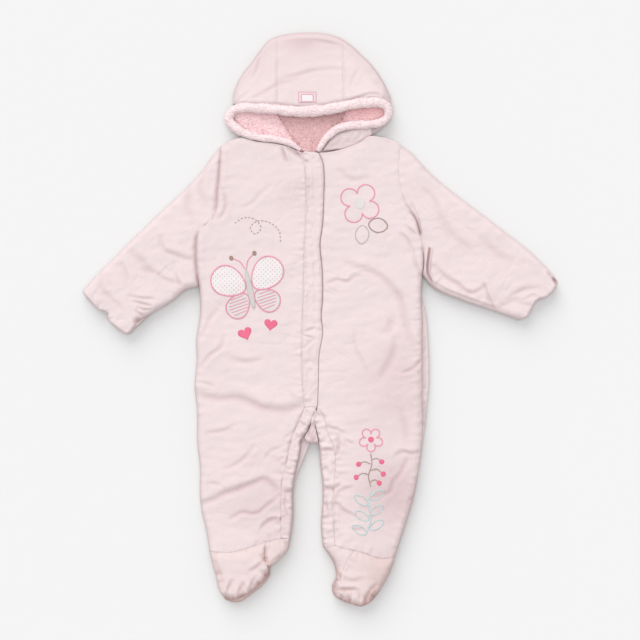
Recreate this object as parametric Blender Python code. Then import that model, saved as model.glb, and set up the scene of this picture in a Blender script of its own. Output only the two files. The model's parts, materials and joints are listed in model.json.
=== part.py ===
"""Padded baby snowsuit with a plush-lined hood and closed feet, laid flat on its back.

Right and left are the wearer's: the wearer's right side lies at -X, the hood points to +Y and the
front faces +Z. Every cut piece is a padded cloth wall and its own closed solid. The back lies on the
surface z = 0, the fronts lie on the back, and pieces stay a seam gap apart. Plan points are in
millimetres from the middle of the garment, and MM turns them into metres when a mesh is made.
"""
import bmesh
import bpy
import numpy as np

MM = 0.001

# Driving heights and thicknesses, in millimetres
SEAM_GAP = 0.3
EDGE_WALL = 1.2
BACK_WALL = 8.0
FRONT_WALL = 9.5
FRONT_CROWN = 1.6
FRONT_BASE = BACK_WALL + SEAM_GAP
UNDERLAP_WALL = 4.2
PLACKET_BASE = FRONT_BASE + UNDERLAP_WALL + 0.4
PLACKET_WALL = 5.6
BAND_WALL = 8.2
GUSSET_WALL = 5.2
SLEEVE_RADIUS = 8.5
SLEEVE_SLIT = 2.2
SLEEVE_WALL = 7.0
SLEEVE_ROWS = 15
HOOD_RADIUS = 8.5
HOOD_WALL = 7.5
HOOD_LIFT = 8.0
LINING_BASE = FRONT_BASE
LINING_CENTRE_WALL = 2.6
LINING_SIDE_WALL = 3.5
LAP_WALL = 5.0
LABEL_WALL = 0.9
SOLE_WALL = 8.0
VAMP_WALL = 13.5
FOOT_SIDE_WALL = 10.0

# Rows of points down the armhole, side and leg, shared by the pieces that meet along them
ARM_ROWS = 13
SIDE_ROWS = 9
BODY_ROWS = ARM_ROWS + SIDE_ROWS
LEG_ROWS = 17
ARM_STEP = 0.03
SLEEVE_OFFSET_RIGHT = (-0.9, 0.4)
SLEEVE_OFFSET_LEFT = (0.8, 0.35)

# Soft borders: how far in from a border the padding reaches full height, and the share it has there
FREE_EDGE = (12.0, 0.14)
FLOOR_EDGE = (9.0, 0.14)
SEAM_VALLEY = (7.0, 0.72)
TIGHT_SEAM = (4.0, 0.60)
STRIP_EDGE = (4.0, 0.35)

# Outlines in plan: short runs of (x, y) from the hood end to the foot end
ARMHOLE_RIGHT = [(-121, 210.5), (-121.5, 200), (-124.5, 160), (-128.5, 128), (-149, 103), (-151, 80),
                 (-149.4, 55), (-147.6, 40)]
SIDE_RIGHT = [(-147.6, 40), (-146, 22), (-147.5, -2), (-151, -24), (-150.5, -50), (-153, -80),
              (-150, -110), (-150, -150)]
LEG_SIDE_RIGHT = [(-150, -150), (-146.5, -180), (-146.5, -216), (-144, -236), (-139, -256),
                  (-135, -283)]
ARMHOLE_LEFT = [(97.6, 213), (96.5, 170), (107, 136), (117, 122), (123, 99), (126.5, 68), (125, 54)]
FRONT_SIDE_LEFT = [(125, 54), (124, 27), (125, 0), (124.5, -30), (124.5, -105)]
FRONT_LEG_SIDE_LEFT = [(124.5, -105), (124.5, -140), (121, -178), (115, -214), (103, -254), (92, -288.5)]
BACK_SIDE_LEFT = [(125, 54), (124.4, 28), (129, 10), (131.8, -21), (133, -50), (133, -80),
                  (130.5, -109), (125.7, -152)]
BACK_LEG_SIDE_LEFT = [(125.7, -152), (122, -177), (118, -197), (109, -236), (102, -256), (92, -288.5)]
UNDERLAP_LINE = [(-18, 200), (-15.4, 180), (-14, 146), (-16.4, 85), (-17.9, 19), (-19.3, -31), (-18.2, -80),
                 (-16, -105)]
STITCH_LINE = [(-20.8, 203), (-18, 180), (-16.8, 146), (-19.2, 85), (-20.7, 19), (-22.1, -31), (-21, -80),
               (-18.8, -107)]
LAP_EDGE = [(-1.6, 203), (3.6, 190.5), (5, 176), (4.6, 148), (2.7, 112), (0.2, 95), (2.6, 60), (2.7, 20),
            (1.2, 5), (3, -15), (-1.1, -41), (-2.4, -81), (-3.3, -106)]
BAND_RIGHT_OUTER = [(-18.8, -107), (-24.9, -123), (-32.5, -140), (-37.6, -159), (-40.6, -174),
                    (-45.4, -192), (-47.2, -210), (-47.6, -245), (-47.6, -267)]
BAND_RIGHT_INNER = [(-4.2, -107), (-8.5, -116.5), (-13.4, -131), (-22, -147), (-24.4, -165), (-28, -180),
                    (-32.4, -205), (-32.9, -245), (-36, -267)]
BAND_LEFT_OUTER = [(-3.2, -106), (2.4, -114), (7.3, -128.7), (9.5, -137), (12.2, -144.6), (17, -155.6),
                   (18.5, -183.6), (16, -209), (16, -245), (18.3, -275)]
BAND_LEFT_INNER = [(-3.8, -110.6), (-6.6, -120), (-4.6, -132), (-2, -143), (-0.8, -154), (0.4, -177),
                   (3, -200), (3.4, -220), (1.4, -250), (3.4, -276.5)]
INNER_LEG_RIGHT = [(-13.4, -152), (-17.5, -163), (-23.2, -177), (-30.5, -197), (-33, -217), (-35.4, -256),
                   (-37.5, -266.5)]
INNER_LEG_LEFT = [(-1.2, -152), (0, -177), (2.6, -197), (3, -217), (1, -252), (3, -276.5)]

# Padded body: largest folds as (depth, half width, plan points of the trough)
BODY_FOLDS = [
    (2.2, 8, [(-149, -88), (-110, -98), (-60, -104), (-24, -109)]),
    (1.6, 7, [(-149, -142), (-115, -138), (-85, -127)]),
    (1.4, 7, [(-52, -15), (-26, -12)]),
    (1.3, 6, [(-34, 43), (-26, 43)]),
    (1.4, 8, [(-144, -54), (-128, -40), (-115, -16)]),
    (2.6, 8, [(-144, -220), (-110, -210), (-76, -196)]),
    (2.6, 8, [(-95, -245), (-71, -230), (-48, -212)]),
    (1.8, 6, [(-62, -171), (-44, -163)]),
    (1.6, 8, [(-118, 175), (-100, 150), (-112, 122)]),
    (2.0, 10, [(32, 68), (66, 53), (86, 29), (100, 4), (96, -40), (90, -74), (80, -103)]),
    (1.4, 6, [(104, -65), (122, -54)]),
    (1.4, 6, [(105, -162), (121, -162)]),
    (2.0, 7, [(14, -150), (36, -147)]),
    (1.8, 8, [(66, -211), (95, -196), (112, -176)]),
    (1.6, 8, [(24, -252), (46, -240), (58, -222)]),
    (1.4, 8, [(92, 205), (101, 165), (114, 112)]),
]
SLEEVE_FOLDS = [
    (2.0, 7, [(-193, 95), (-186, 84), (-172, 78), (-152, 70)]),
    (1.8, 7, [(-213, 59), (-203, 56), (-190, 49), (-176, 47)]),
    (1.2, 5, [(-232, 20), (-222, 10), (-214, -4)]),
    (1.2, 5, [(-222, 24), (-212, 14), (-205, 2)]),
    (2.4, 7, [(133, 84), (143, 66), (158, 50), (174, 37), (190, 33)]),
    (1.8, 6, [(200, 44), (208, 28), (214, 12)]),
    (1.4, 6, [(226, 14), (244, 20), (256, 18)]),
]
HOOD_FOLDS = [
    (1.2, 5, [(-50, 291), (-26, 297), (-5, 303), (18, 306)]),
    (1.4, 5, [(-103, 266), (-72, 277), (-54, 286)]),
    (1.3, 5, [(36, 272), (52, 275), (73, 272)]),
    (1.0, 5, [(31, 291), (46, 303)]),
    (1.0, 5, [(-75, 309), (-67, 324)]),
]
FOOT_FOLDS = [
    (2.2, 5, [(-112, -337), (-106, -328), (-103, -320)]),
    (2.0, 5, [(-100, -334), (-96, -326), (-94, -318)]),
    (1.8, 6, [(-84, -322), (-92, -308), (-104, -300)]),
    (1.8, 5, [(33, -342), (35, -333), (38, -325)]),
    (1.8, 5, [(58, -344), (60, -334), (66, -326)]),
    (1.6, 6, [(28, -331), (42, -333), (54, -331)]),
]
BAND_PINCHES = [
    (3.0, 5, [(-46, -172), (-24, -174)]),
    (3.2, 5, [(-50, -211), (-30, -209)]),
    (3.0, 5, [(-50, -243), (-30, -243)]),
    (2.4, 6, [(-30, -138), (-12, -142)]),
    (3.0, 5, [(2, -160), (20, -158)]),
    (3.2, 5, [(0, -206), (20, -210)]),
    (2.4, 5, [(0, -240), (20, -238)]),
    (2.2, 5, [(-2, -132), (10, -136)]),
]

# Hood: a station for each x, with its crown line, face edge, nape line and fold radius
HOOD_STATIONS = np.array([
    # x,    crown, face,  nape,  radius
    (-106.5, 273, 264.0, 243.5, 3.2),
    (-104.5, 279, 264.0, 239.0, 5.0),
    (-101.0, 288, 264.0, 234.0, 6.6),
    (-94.0, 300.5, 264.0, 227.0, 7.8),
    (-84.0, 313, 263.6, 222.4, 8.5),
    (-72.0, 330, 263.2, 222.4, 8.5),
    (-62.0, 341, 262.8, 222.4, 8.5),
    (-52.5, 345.5, 262.4, 222.4, 8.5),
    (-33.0, 349.5, 260.2, 222.4, 8.5),
    (-15.0, 350.5, 259.4, 222.4, 8.5),
    (5.0, 349.5, 261.8, 222.4, 8.5),
    (28.0, 342, 266.0, 222.4, 8.5),
    (38.0, 335, 268.2, 222.4, 8.5),
    (50.0, 324, 270.2, 222.4, 8.5),
    (61.0, 313.5, 270.8, 224.5, 8.5),
    (71.0, 300.5, 270.6, 230.0, 8.0),
    (79.0, 287, 269.0, 237.0, 7.0),
    (84.0, 276, 266.0, 244.0, 5.0),
    (86.5, 270, 263.0, 250.0, 3.2),
])
HOOD_SEAM_RIGHT = -52.5
HOOD_SEAM_LEFT = 28.0

# Plush rim round the face opening: centre line, half width and half height
RIM_STATIONS = np.array([
    # x,    y,     z,    half_width, half_height
    (-28.5, 209.5, 17.2, 3.4, 3.8),
    (-38.0, 215.5, 17.6, 3.8, 4.2),
    (-55.0, 219.5, 18.0, 4.2, 4.4),
    (-76.0, 222.0, 18.0, 4.4, 4.5),
    (-94.0, 228.0, 17.8, 5.0, 4.8),
    (-106.0, 236.0, 15.6, 5.5, 5.5),
    (-111.5, 244.0, 14.4, 5.5, 6.0),
    (-107.5, 253.0, 15.2, 5.5, 6.0),
    (-97.0, 257.4, 17.8, 5.8, 6.0),
    (-80.0, 257.0, 19.8, 6.0, 6.0),
    (-60.0, 256.0, 21.0, 6.2, 6.0),
    (-26.0, 252.8, 21.7, 6.3, 6.0),
    (6.0, 254.8, 21.7, 6.3, 6.0),
    (41.0, 262.0, 21.0, 6.2, 6.0),
    (62.0, 264.2, 19.8, 6.0, 6.0),
    (76.0, 262.6, 17.8, 5.6, 6.0),
    (82.6, 256.5, 15.6, 5.2, 6.0),
    (82.8, 248.5, 14.6, 5.0, 6.0),
    (76.5, 241.6, 15.2, 5.0, 5.5),
    (60.0, 237.5, 17.2, 5.0, 4.8),
    (38.0, 236.5, 18.2, 5.0, 4.6),
    (21.0, 232.0, 18.4, 4.8, 4.5),
    (10.0, 223.5, 18.0, 4.4, 4.4),
    (2.0, 213.0, 17.6, 3.8, 4.2),
    (-2.0, 207.2, 17.2, 3.2, 3.8),
])
RIM_STEPS = 50
RIM_SIDES = 8

# Woven patch above the face edge: centre, size and turn about +Z
LABEL_CENTRE = (-15.2, 269.0)
LABEL_SIZE = (21.5, 12.5)
LABEL_TURN = 0.03


def steps(count, end_step):
    """Fractions from 0 to 1: one short step at each end, even ones between."""
    return np.r_[0.0, np.linspace(end_step, 1.0 - end_step, count - 2), 1.0]


def course(points, fractions):
    """Smooth line through a few points (cubic, slopes from the neighbours), read at fractions of it."""
    knots = np.asarray(points, float)
    chord = np.r_[0.0, np.cumsum(np.linalg.norm(np.diff(knots, axis=0), axis=1))]
    slope = np.gradient(knots, chord, axis=0)
    at = np.asarray(fractions) * chord[-1]
    cell = np.clip(np.searchsorted(chord, at, side="right") - 1, 0, len(knots) - 2)
    span = (chord[cell + 1] - chord[cell])[:, None]
    t = (at - chord[cell])[:, None] / span
    start, end = knots[cell], knots[cell + 1]
    bend = t * (1 - t) * ((1 - t) * (span * slope[cell] - (end - start))
                          - t * (span * slope[cell + 1] - (end - start)))
    return start + t * (end - start) + bend


def moved(points, dx=0.0, dy=0.0):
    """The same points moved in plan, as for the other side of a seam gap."""
    return [(x + dx, y + dy) for x, y in points]


def body_edge(armhole, side, leg):
    """Outer edge of a body piece from the shoulder to the ankle, in the shared rows."""
    return np.vstack([course(armhole, steps(ARM_ROWS, ARM_STEP)),
                      course(side, np.linspace(0, 1, SIDE_ROWS + 1)[1:]),
                      course(leg, steps(LEG_ROWS, 0.02)[1:])])


def middle_edge(body, leg):
    """Inner edge of a front: down the middle to the crotch, then down the leg, in the shared rows."""
    return np.vstack([course(body, steps(BODY_ROWS, 0.012)), course(leg, steps(LEG_ROWS, 0.02)[1:])])


def patch(left, right, across, top=(), bottom=()):
    """Plan grid between two side lines (Coons patch).

    Rows join matching points of left and right, and the rows near the two ends bend to run through
    the top and bottom points. An array is taken as the whole end row itself.
    """
    u = np.asarray(across)[None, :, None]
    grid = (1 - u) * left[:, None] + u * right[:, None]
    middle = (left + right) / 2
    way = np.r_[0.0, np.cumsum(np.linalg.norm(np.diff(middle, axis=0), axis=1))]
    v = (way / way[-1])[:, None, None]
    for row, inner_points, share in ((0, top, 1 - v), (-1, bottom, v)):
        if isinstance(inner_points, np.ndarray):
            grid = grid + share * (inner_points - grid[row])
        elif inner_points:
            line = course([left[row], *inner_points, right[row]], across)
            grid = grid + share * (line - grid[row])
    return grid


def distance(plan, line):
    """Plan distance from every grid point to a broken line."""
    line = np.asarray(line, float)
    start, way = line[:-1], np.diff(line, axis=0)
    offset = plan[..., None, :] - start
    along = (offset * way).sum(-1) / np.maximum((way ** 2).sum(-1), 1e-9)
    nearest = offset - np.clip(along, 0, 1)[..., None] * way
    return np.linalg.norm(nearest, axis=-1).min(-1)


def swell(plan, borders):
    """Share of the full padding height: a quarter ellipse up from each border, multiplied together."""
    height = np.ones(plan.shape[:2])
    for line, (reach, edge) in borders:
        inward = 1 - np.clip(distance(plan, line) / reach, 0, 1)
        height = height * (edge + (1 - edge) * np.sqrt(1 - inward ** 2))
    return height


def troughs(plan, folds):
    """Depth of the folds at every grid point: each is a Gaussian across its own line."""
    depth = np.zeros(plan.shape[:2])
    for most, half_width, line in folds:
        depth = depth + most * np.exp(-(distance(plan, line) / half_width) ** 2)
    return depth


def cloth(name, color, roughness):
    """Principled material for one kind of cloth."""
    material = bpy.data.materials.new(name)
    material.use_nodes = True
    shader = material.node_tree.nodes["Principled BSDF"]
    shader.inputs["Base Color"].default_value = (*color, 1.0)
    shader.inputs["Roughness"].default_value = roughness
    shader.inputs["Metallic"].default_value = 0.0
    return material


def add_solid(name, points, faces, material):
    """Mesh object from points in millimetres, with its faces turned outwards."""
    mesh = bpy.data.meshes.new(name)
    mesh.from_pydata((np.asarray(points) * MM).tolist(), [], [list(face) for face in faces])
    shape = bmesh.new()
    shape.from_mesh(mesh)
    bmesh.ops.recalc_face_normals(shape, faces=shape.faces)
    shape.to_mesh(mesh)
    shape.free()
    mesh.shade_smooth()
    mesh.materials.append(material)
    solid = bpy.data.objects.new(name, mesh)
    garment.objects.link(solid)
    return solid


def grid_cells(rows, columns):
    """Corner numbers of each cell of a grid whose points are numbered row by row."""
    number = np.arange(rows * columns).reshape(rows, columns)
    corners = (number[:-1, :-1], number[1:, :-1], number[1:, 1:], number[:-1, 1:])
    return np.stack(corners, -1)


def wall(name, outer, inner, material, keep=None):
    """Closed solid between two surfaces on the same grid; keep leaves out the cells of a gap."""
    rows, columns = outer.shape[:2]
    cells = grid_cells(rows, columns)
    cells = cells.reshape(-1, 4) if keep is None else cells[keep]
    count = rows * columns
    rim = np.stack([cells, np.roll(cells, -1, axis=1)], -1).reshape(-1, 2)
    code = rim[:, 0] * count + rim[:, 1]
    back_code = rim[:, 1] * count + rim[:, 0]
    rim = rim[~np.isin(code, back_code)]
    sides = np.stack([rim[:, 1], rim[:, 0], rim[:, 0] + count, rim[:, 1] + count], -1)
    faces = np.concatenate([cells, cells[:, ::-1] + count, sides])
    points = np.concatenate([outer.reshape(-1, 3), inner.reshape(-1, 3)])
    used, faces = np.unique(faces, return_inverse=True)
    return add_solid(name, points[used], faces.reshape(-1, 4), material)


def slab(name, plan, low, high, material, keep=None):
    """Padded wall between a lower and an upper height on one plan grid."""
    shape = plan.shape[:2]
    outer = np.dstack([plan, np.broadcast_to(high, shape)])
    inner = np.dstack([plan, np.broadcast_to(low, shape)])
    return wall(name, outer, inner, material, keep)


def tube(name, outer, inner, material):
    """Flattened cloth tube, open at both ends, from rings of its outer and inner faces."""
    rings, sides = outer.shape[:2]
    count = rings * sides
    number = np.arange(count).reshape(rings, sides)
    turn = np.roll(number, -1, axis=1)
    skin = np.stack([number[:-1], number[1:], turn[1:], turn[:-1]], -1).reshape(-1, 4)
    hem = [np.stack([number[end], turn[end], turn[end] + count, number[end] + count], -1)
           for end in (0, -1)]
    faces = np.concatenate([skin, skin[:, ::-1] + count, hem[0], hem[1]])
    points = np.concatenate([outer.reshape(-1, 3), inner.reshape(-1, 3)])
    return add_solid(name, points, faces, material)


def front_height(plan, borders, folds=BODY_FOLDS, padding=FRONT_WALL):
    """Top of a padded front piece: full padding, a slight crown, soft borders and its folds."""
    crown = FRONT_CROWN * np.clip(distance(plan, borders[0][0]) / 60, 0, 1)
    return FRONT_BASE + (padding + crown) * swell(plan, borders) - troughs(plan, folds)


def make_back(material):
    """Back with both back legs: two strips of columns, joined by one column of cells above the crotch."""
    outer_right = body_edge(ARMHOLE_RIGHT, SIDE_RIGHT, LEG_SIDE_RIGHT)
    inner_right = middle_edge([(-50, 221.8), (-40, 120), (-20, -80), (-13.4, -152)], INNER_LEG_RIGHT)
    inner_left = middle_edge([(20, 221.8), (20, 120), (4, -80), (-1.2, -152)], INNER_LEG_LEFT)
    outer_left = body_edge(ARMHOLE_LEFT, BACK_SIDE_LEFT, BACK_LEG_SIDE_LEFT)
    across = steps(6, 0.07)
    right = patch(outer_right, inner_right, across, top=[(-98, 221), (-84, 221.4), (-70, 221.8)],
                  bottom=[(-111, -283.6), (-75, -274), (-61, -269)])
    left = patch(inner_left, outer_left, across, top=[(40, 221.8), (64, 221.4), (91, 217.5)],
                 bottom=[(26, -277.6), (50, -283.6), (77, -291)])
    plan = np.hstack([right, left])
    crotch_row = BODY_ROWS - 1
    keep = np.ones((plan.shape[0] - 1, plan.shape[1] - 1), bool)
    keep[crotch_row:, len(across) - 1] = False
    side_row = ARM_ROWS - 1
    rounded = swell(plan, [(outer_right[side_row:], FLOOR_EDGE), (outer_left[side_row:], FLOOR_EDGE),
                           (inner_right[crotch_row:], FLOOR_EDGE), (inner_left[crotch_row:], FLOOR_EDGE)])
    underside = np.minimum(BACK_WALL * (1 - rounded), BACK_WALL - EDGE_WALL)
    slab("back", plan, underside, BACK_WALL, material, keep)


def make_front_right(material):
    """Right front and leg, from the armhole and side seam to the stitched line of the placket."""
    outer = body_edge(ARMHOLE_RIGHT, SIDE_RIGHT, LEG_SIDE_RIGHT)
    inner = middle_edge(moved(STITCH_LINE, -0.2), moved(BAND_RIGHT_OUTER, -0.35))
    plan = patch(outer, inner, steps(11, 0.03),
                 top=[(-109, 217.5), (-98, 220.8), (-75.6, 216.3), (-55, 214.2), (-38, 210), (-29, 205.6)],
                 bottom=[(-111, -283.6), (-75, -274), (-61, -269)])
    armhole, side_seam = outer[:ARM_ROWS], outer[ARM_ROWS - 1:]
    borders = [(side_seam, FREE_EDGE), (armhole, SEAM_VALLEY), (plan[0], SEAM_VALLEY),
               (inner, TIGHT_SEAM), (plan[-1], SEAM_VALLEY)]
    slab("front_right", plan, FRONT_BASE, front_height(plan, borders), material)


def make_front_left(material):
    """Left front and leg, with the underlap that runs on below the placket as far as the crotch."""
    side_line = body_edge(ARMHOLE_LEFT, FRONT_SIDE_LEFT, FRONT_LEG_SIDE_LEFT)
    lap_line = middle_edge(moved(LAP_EDGE, 0.7), BAND_LEFT_OUTER)
    hidden_line = middle_edge(UNDERLAP_LINE, moved(BAND_LEFT_OUTER, -10))
    main = patch(lap_line, side_line, steps(11, 0.03),
                 top=[(6, 203.2), (31.7, 209), (49.4, 216.2), (62, 223.4), (70, 222.6), (91, 216.8)],
                 bottom=[(26, -277.6), (50, -283.6), (77, -291)])
    plan = np.hstack([hidden_line[:, None], main])
    keep = np.ones((plan.shape[0] - 1, plan.shape[1] - 1), bool)
    keep[BODY_ROWS - 1:, 0] = False
    armhole, side_seam = side_line[:ARM_ROWS], side_line[ARM_ROWS - 1:]
    borders = [(side_seam, FREE_EDGE), (armhole, SEAM_VALLEY), (main[0], SEAM_VALLEY),
               (lap_line, (8.0, UNDERLAP_WALL / FRONT_WALL)), (main[-1], SEAM_VALLEY)]
    top = front_height(plan, borders)
    top[:, 0] = FRONT_BASE + UNDERLAP_WALL
    top[:, 1] = np.minimum(top[:, 1], FRONT_BASE + UNDERLAP_WALL)
    slab("front_left", plan, FRONT_BASE, top, material, keep)


def make_placket(material):
    """Stitched band on the right front's edge; it lies on the underlap."""
    down = steps(BODY_ROWS, 0.012)
    stitched = course(moved(STITCH_LINE, 0.2), down)
    free = course(LAP_EDGE, down)
    plan = patch(stitched, free, (0, 0.14, 0.5, 0.86, 1), top=[(-10, 201.8)])
    high = PLACKET_BASE + PLACKET_WALL * swell(plan, [(free, STRIP_EDGE), (stitched, (3.0, 0.7)),
                                                      (plan[0], (3.0, 0.5))])
    slab("placket", plan, PLACKET_BASE, high - 0.4 * troughs(plan, BODY_FOLDS), material)


def make_band(name, outer, inner, material):
    """Popper band along an inner leg, drawn in where each hidden popper holds it."""
    down = steps(LEG_ROWS, 0.02)
    outer_line, inner_line = course(outer, down), course(inner, down)
    first, second = (outer_line, inner_line) if outer[-1][0] < inner[-1][0] else (inner_line, outer_line)
    plan = patch(first, second, (0, 0.15, 0.5, 0.85, 1))
    borders = [(outer_line, (4.0, 0.55)), (inner_line, STRIP_EDGE), (plan[0], TIGHT_SEAM),
               (plan[-1], TIGHT_SEAM)]
    high = FRONT_BASE + BAND_WALL * swell(plan, borders) - troughs(plan, BAND_PINCHES)
    slab(name, plan, FRONT_BASE, np.maximum(high, FRONT_BASE + EDGE_WALL), material)


def make_gusset(material):
    """Small gathered crotch piece between the two bands."""
    down = steps(8, 0.06)
    first = course([(-8.4, -121), (-12.2, -132), (-18.4, -145), (-13.6, -151)], down)
    second = course([(-7.6, -121.4), (-5.6, -132), (-3, -143), (-2.4, -151)], down)
    plan = patch(first, second, steps(8, 0.08))
    along = np.linspace(0, 3 * 2 * np.pi, plan.shape[1])
    gathers = 0.9 * np.sin(along)[None, :] * np.linspace(0.2, 1, len(down))[:, None]
    borders = [(first, TIGHT_SEAM), (second, TIGHT_SEAM), (plan[-1], TIGHT_SEAM)]
    slab("gusset", plan, FRONT_BASE, FRONT_BASE + GUSSET_WALL * swell(plan, borders) + gathers, material)


def make_sleeve(name, upper, lower, armhole, cuff, material):
    """One cut piece folded round to a flattened tube, sewn on along the body's own armhole points."""
    down = steps(SLEEVE_ROWS, 0.02)
    upper_line, lower_line = course(upper, down), course(lower, down)
    way = np.r_[0.0, np.cumsum(np.linalg.norm(np.diff(armhole, axis=0), axis=1))]
    across = way / way[-1]
    plan = patch(upper_line, lower_line, across, top=armhole, bottom=cuff)
    sides = [(plan[:, 0], FREE_EDGE), (plan[:, -1], FREE_EDGE)]
    upward = swell(plan, sides + [(plan[0], SEAM_VALLEY), (plan[-1], (6.0, 0.62))])
    top = SLEEVE_RADIUS + (SLEEVE_RADIUS + 0.6) * upward - troughs(plan, SLEEVE_FOLDS)
    floor = SLEEVE_RADIUS * (1 - swell(plan, sides))
    width = np.linalg.norm(plan[:, -1] - plan[:, 0], axis=-1)
    inset = (SLEEVE_WALL / width)[:, None]
    spread = inset + (1 - 2 * inset) * across
    hollow = np.dstack([[np.interp(at, across, row) for at, row in zip(spread, plan[..., axis])]
                        for axis in range(2)])

    def ring(grid, over, under):
        shape = grid.shape[:2]
        over_points = np.dstack([grid, np.broadcast_to(over, shape)])
        under_points = np.dstack([grid, np.broadcast_to(under, shape)])
        return np.hstack([over_points, under_points[:, ::-1]])

    slit = SLEEVE_SLIT / 2
    tube(name, ring(plan, top, floor), ring(hollow, SLEEVE_RADIUS + slit, SLEEVE_RADIUS - slit), material)


def hood_station(x, column):
    """One column of the hood stations, read at x."""
    return np.interp(x, HOOD_STATIONS[:, 0], HOOD_STATIONS[:, column])


def hood_top(x, y):
    """Height of the hood's front layer over a plan point: low at the crown, lifted towards the face."""
    crown, face, radius = hood_station(x, 1), hood_station(x, 2), hood_station(x, 4)
    share = np.clip((crown - y) / np.maximum(crown - face, 1), 0, 1)
    lift = HOOD_LIFT * np.clip((radius - 3.0) / 5.5, 0, 1) ** 1.5
    plan = np.stack([x, y], -1)
    return HOOD_RADIUS + radius + lift * share ** 1.5 - troughs(plan, HOOD_FOLDS)


def make_hood_panel(name, x_line, seams, material):
    """Hood panel folded over the crown: back layer, fold and front layer, as one U-shaped wall."""
    x = np.asarray(x_line, float)
    crown, face, nape, radius = (hood_station(x, column) for column in (1, 2, 3, 4))
    inner_radius = np.maximum(0.35, radius - HOOD_WALL)
    back_share = np.linspace(0, 1, 6)[:, None]
    turn = np.linspace(-np.pi / 2, np.pi / 2, 7)[1:-1, None]
    front_share = np.r_[np.linspace(0, 0.93, 9), 1.0][:, None]
    bend = crown - radius
    grids = []
    for reach in (radius, inner_radius):
        back_y = nape + (bend - nape) * back_share
        fold_y = bend + reach * np.cos(turn)
        front_y = np.minimum(bend, bend + (face - bend) * front_share)
        plan_x = np.broadcast_to(x, front_y.shape)
        valley = swell(np.stack([plan_x, front_y], -1),
                       [(np.array([(seam, 200.0), (seam, 400.0)]), (6.0, 0.90)) for seam in seams])
        front_z = hood_top(plan_x, front_y) * valley - (radius - reach)
        y = np.concatenate([back_y, fold_y, front_y])
        z = np.concatenate([np.broadcast_to(HOOD_RADIUS - reach, back_y.shape),
                            HOOD_RADIUS + reach * np.sin(turn), front_z])
        grids.append(np.dstack([np.broadcast_to(x, y.shape), y, z]))
    wall(name, grids[0], grids[1], material)


def make_lining(name, left, right, thickness, material, bottom=(), top=()):
    """Plush lining piece that lies inside the hood and shows in the face opening."""
    down = steps(9, 0.05)
    plan = patch(course(left, down), course(right, down), steps(8, 0.06), top=top, bottom=bottom)
    around = np.vstack([plan[0], plan[:, -1], plan[-1, ::-1], plan[::-1, 0]])
    high = LINING_BASE + thickness * swell(plan, [(around, (6.0, 0.5))])
    slab(name, plan, LINING_BASE, high, material)


def make_lap(material):
    """Lower front corner of the left hood panel, folded forward above the neck seam."""
    down = steps(6, 0.1)
    left = course([(6.2, 208.4), (4.2, 205.4)], down)
    right = course([(61, 230.6), (61.6, 225.6)], down)
    plan = patch(left, right, steps(10, 0.04), top=[(14.5, 218.4), (24.5, 226), (39, 230.4)],
                 bottom=[(31.5, 210.6), (49.2, 218)])
    around = np.vstack([plan[0], plan[:, -1], plan[-1, ::-1], plan[::-1, 0]])
    high = FRONT_BASE + LAP_WALL * swell(plan, [(around, (4.0, 0.6))])
    slab("hood_lap_left", plan, FRONT_BASE, high, material)


def make_rim(material):
    """Plush edge of the lining, rolled out round the face opening: a roll with closed ends."""
    share = np.linspace(0, 1, RIM_STEPS)
    knots = RIM_STATIONS[:, :3]
    centre = course(knots, share)
    chord = np.r_[0.0, np.cumsum(np.linalg.norm(np.diff(knots, axis=0), axis=1))]
    width = np.interp(share * chord[-1], chord, RIM_STATIONS[:, 3])
    height = np.interp(share * chord[-1], chord, RIM_STATIONS[:, 4])
    ahead = np.gradient(centre[:, :2], axis=0)
    ahead = ahead / np.linalg.norm(ahead, axis=1)[:, None]
    side = np.stack([-ahead[:, 1], ahead[:, 0]], -1)
    angle = np.arange(RIM_SIDES) * 2 * np.pi / RIM_SIDES
    plan = centre[:, None, :2] + (width[:, None] * np.cos(angle))[..., None] * side[:, None]
    z = centre[:, 2:3] + height[:, None] * np.sin(angle)
    rings = np.dstack([plan, z])
    number = np.arange(RIM_STEPS * RIM_SIDES).reshape(RIM_STEPS, RIM_SIDES)
    turn = np.roll(number, -1, axis=1)
    skin = np.stack([number[:-1], number[1:], turn[1:], turn[:-1]], -1).reshape(-1, 4)
    add_solid("hood_rim", rings.reshape(-1, 3), [*skin, number[0], number[-1, ::-1]], material)


def make_label(material):
    """Small woven patch that follows the hood just above the face edge."""
    u, v = np.meshgrid(np.linspace(-0.5, 0.5, 5), np.linspace(0.5, -0.5, 4))
    along, up = u * LABEL_SIZE[0], v * LABEL_SIZE[1]
    x = LABEL_CENTRE[0] + along * np.cos(LABEL_TURN) - up * np.sin(LABEL_TURN)
    y = LABEL_CENTRE[1] + along * np.sin(LABEL_TURN) + up * np.cos(LABEL_TURN)
    low = hood_top(x, y) + 0.5
    slab("hood_label", np.stack([x, y], -1), low, low + LABEL_WALL, material)


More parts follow.
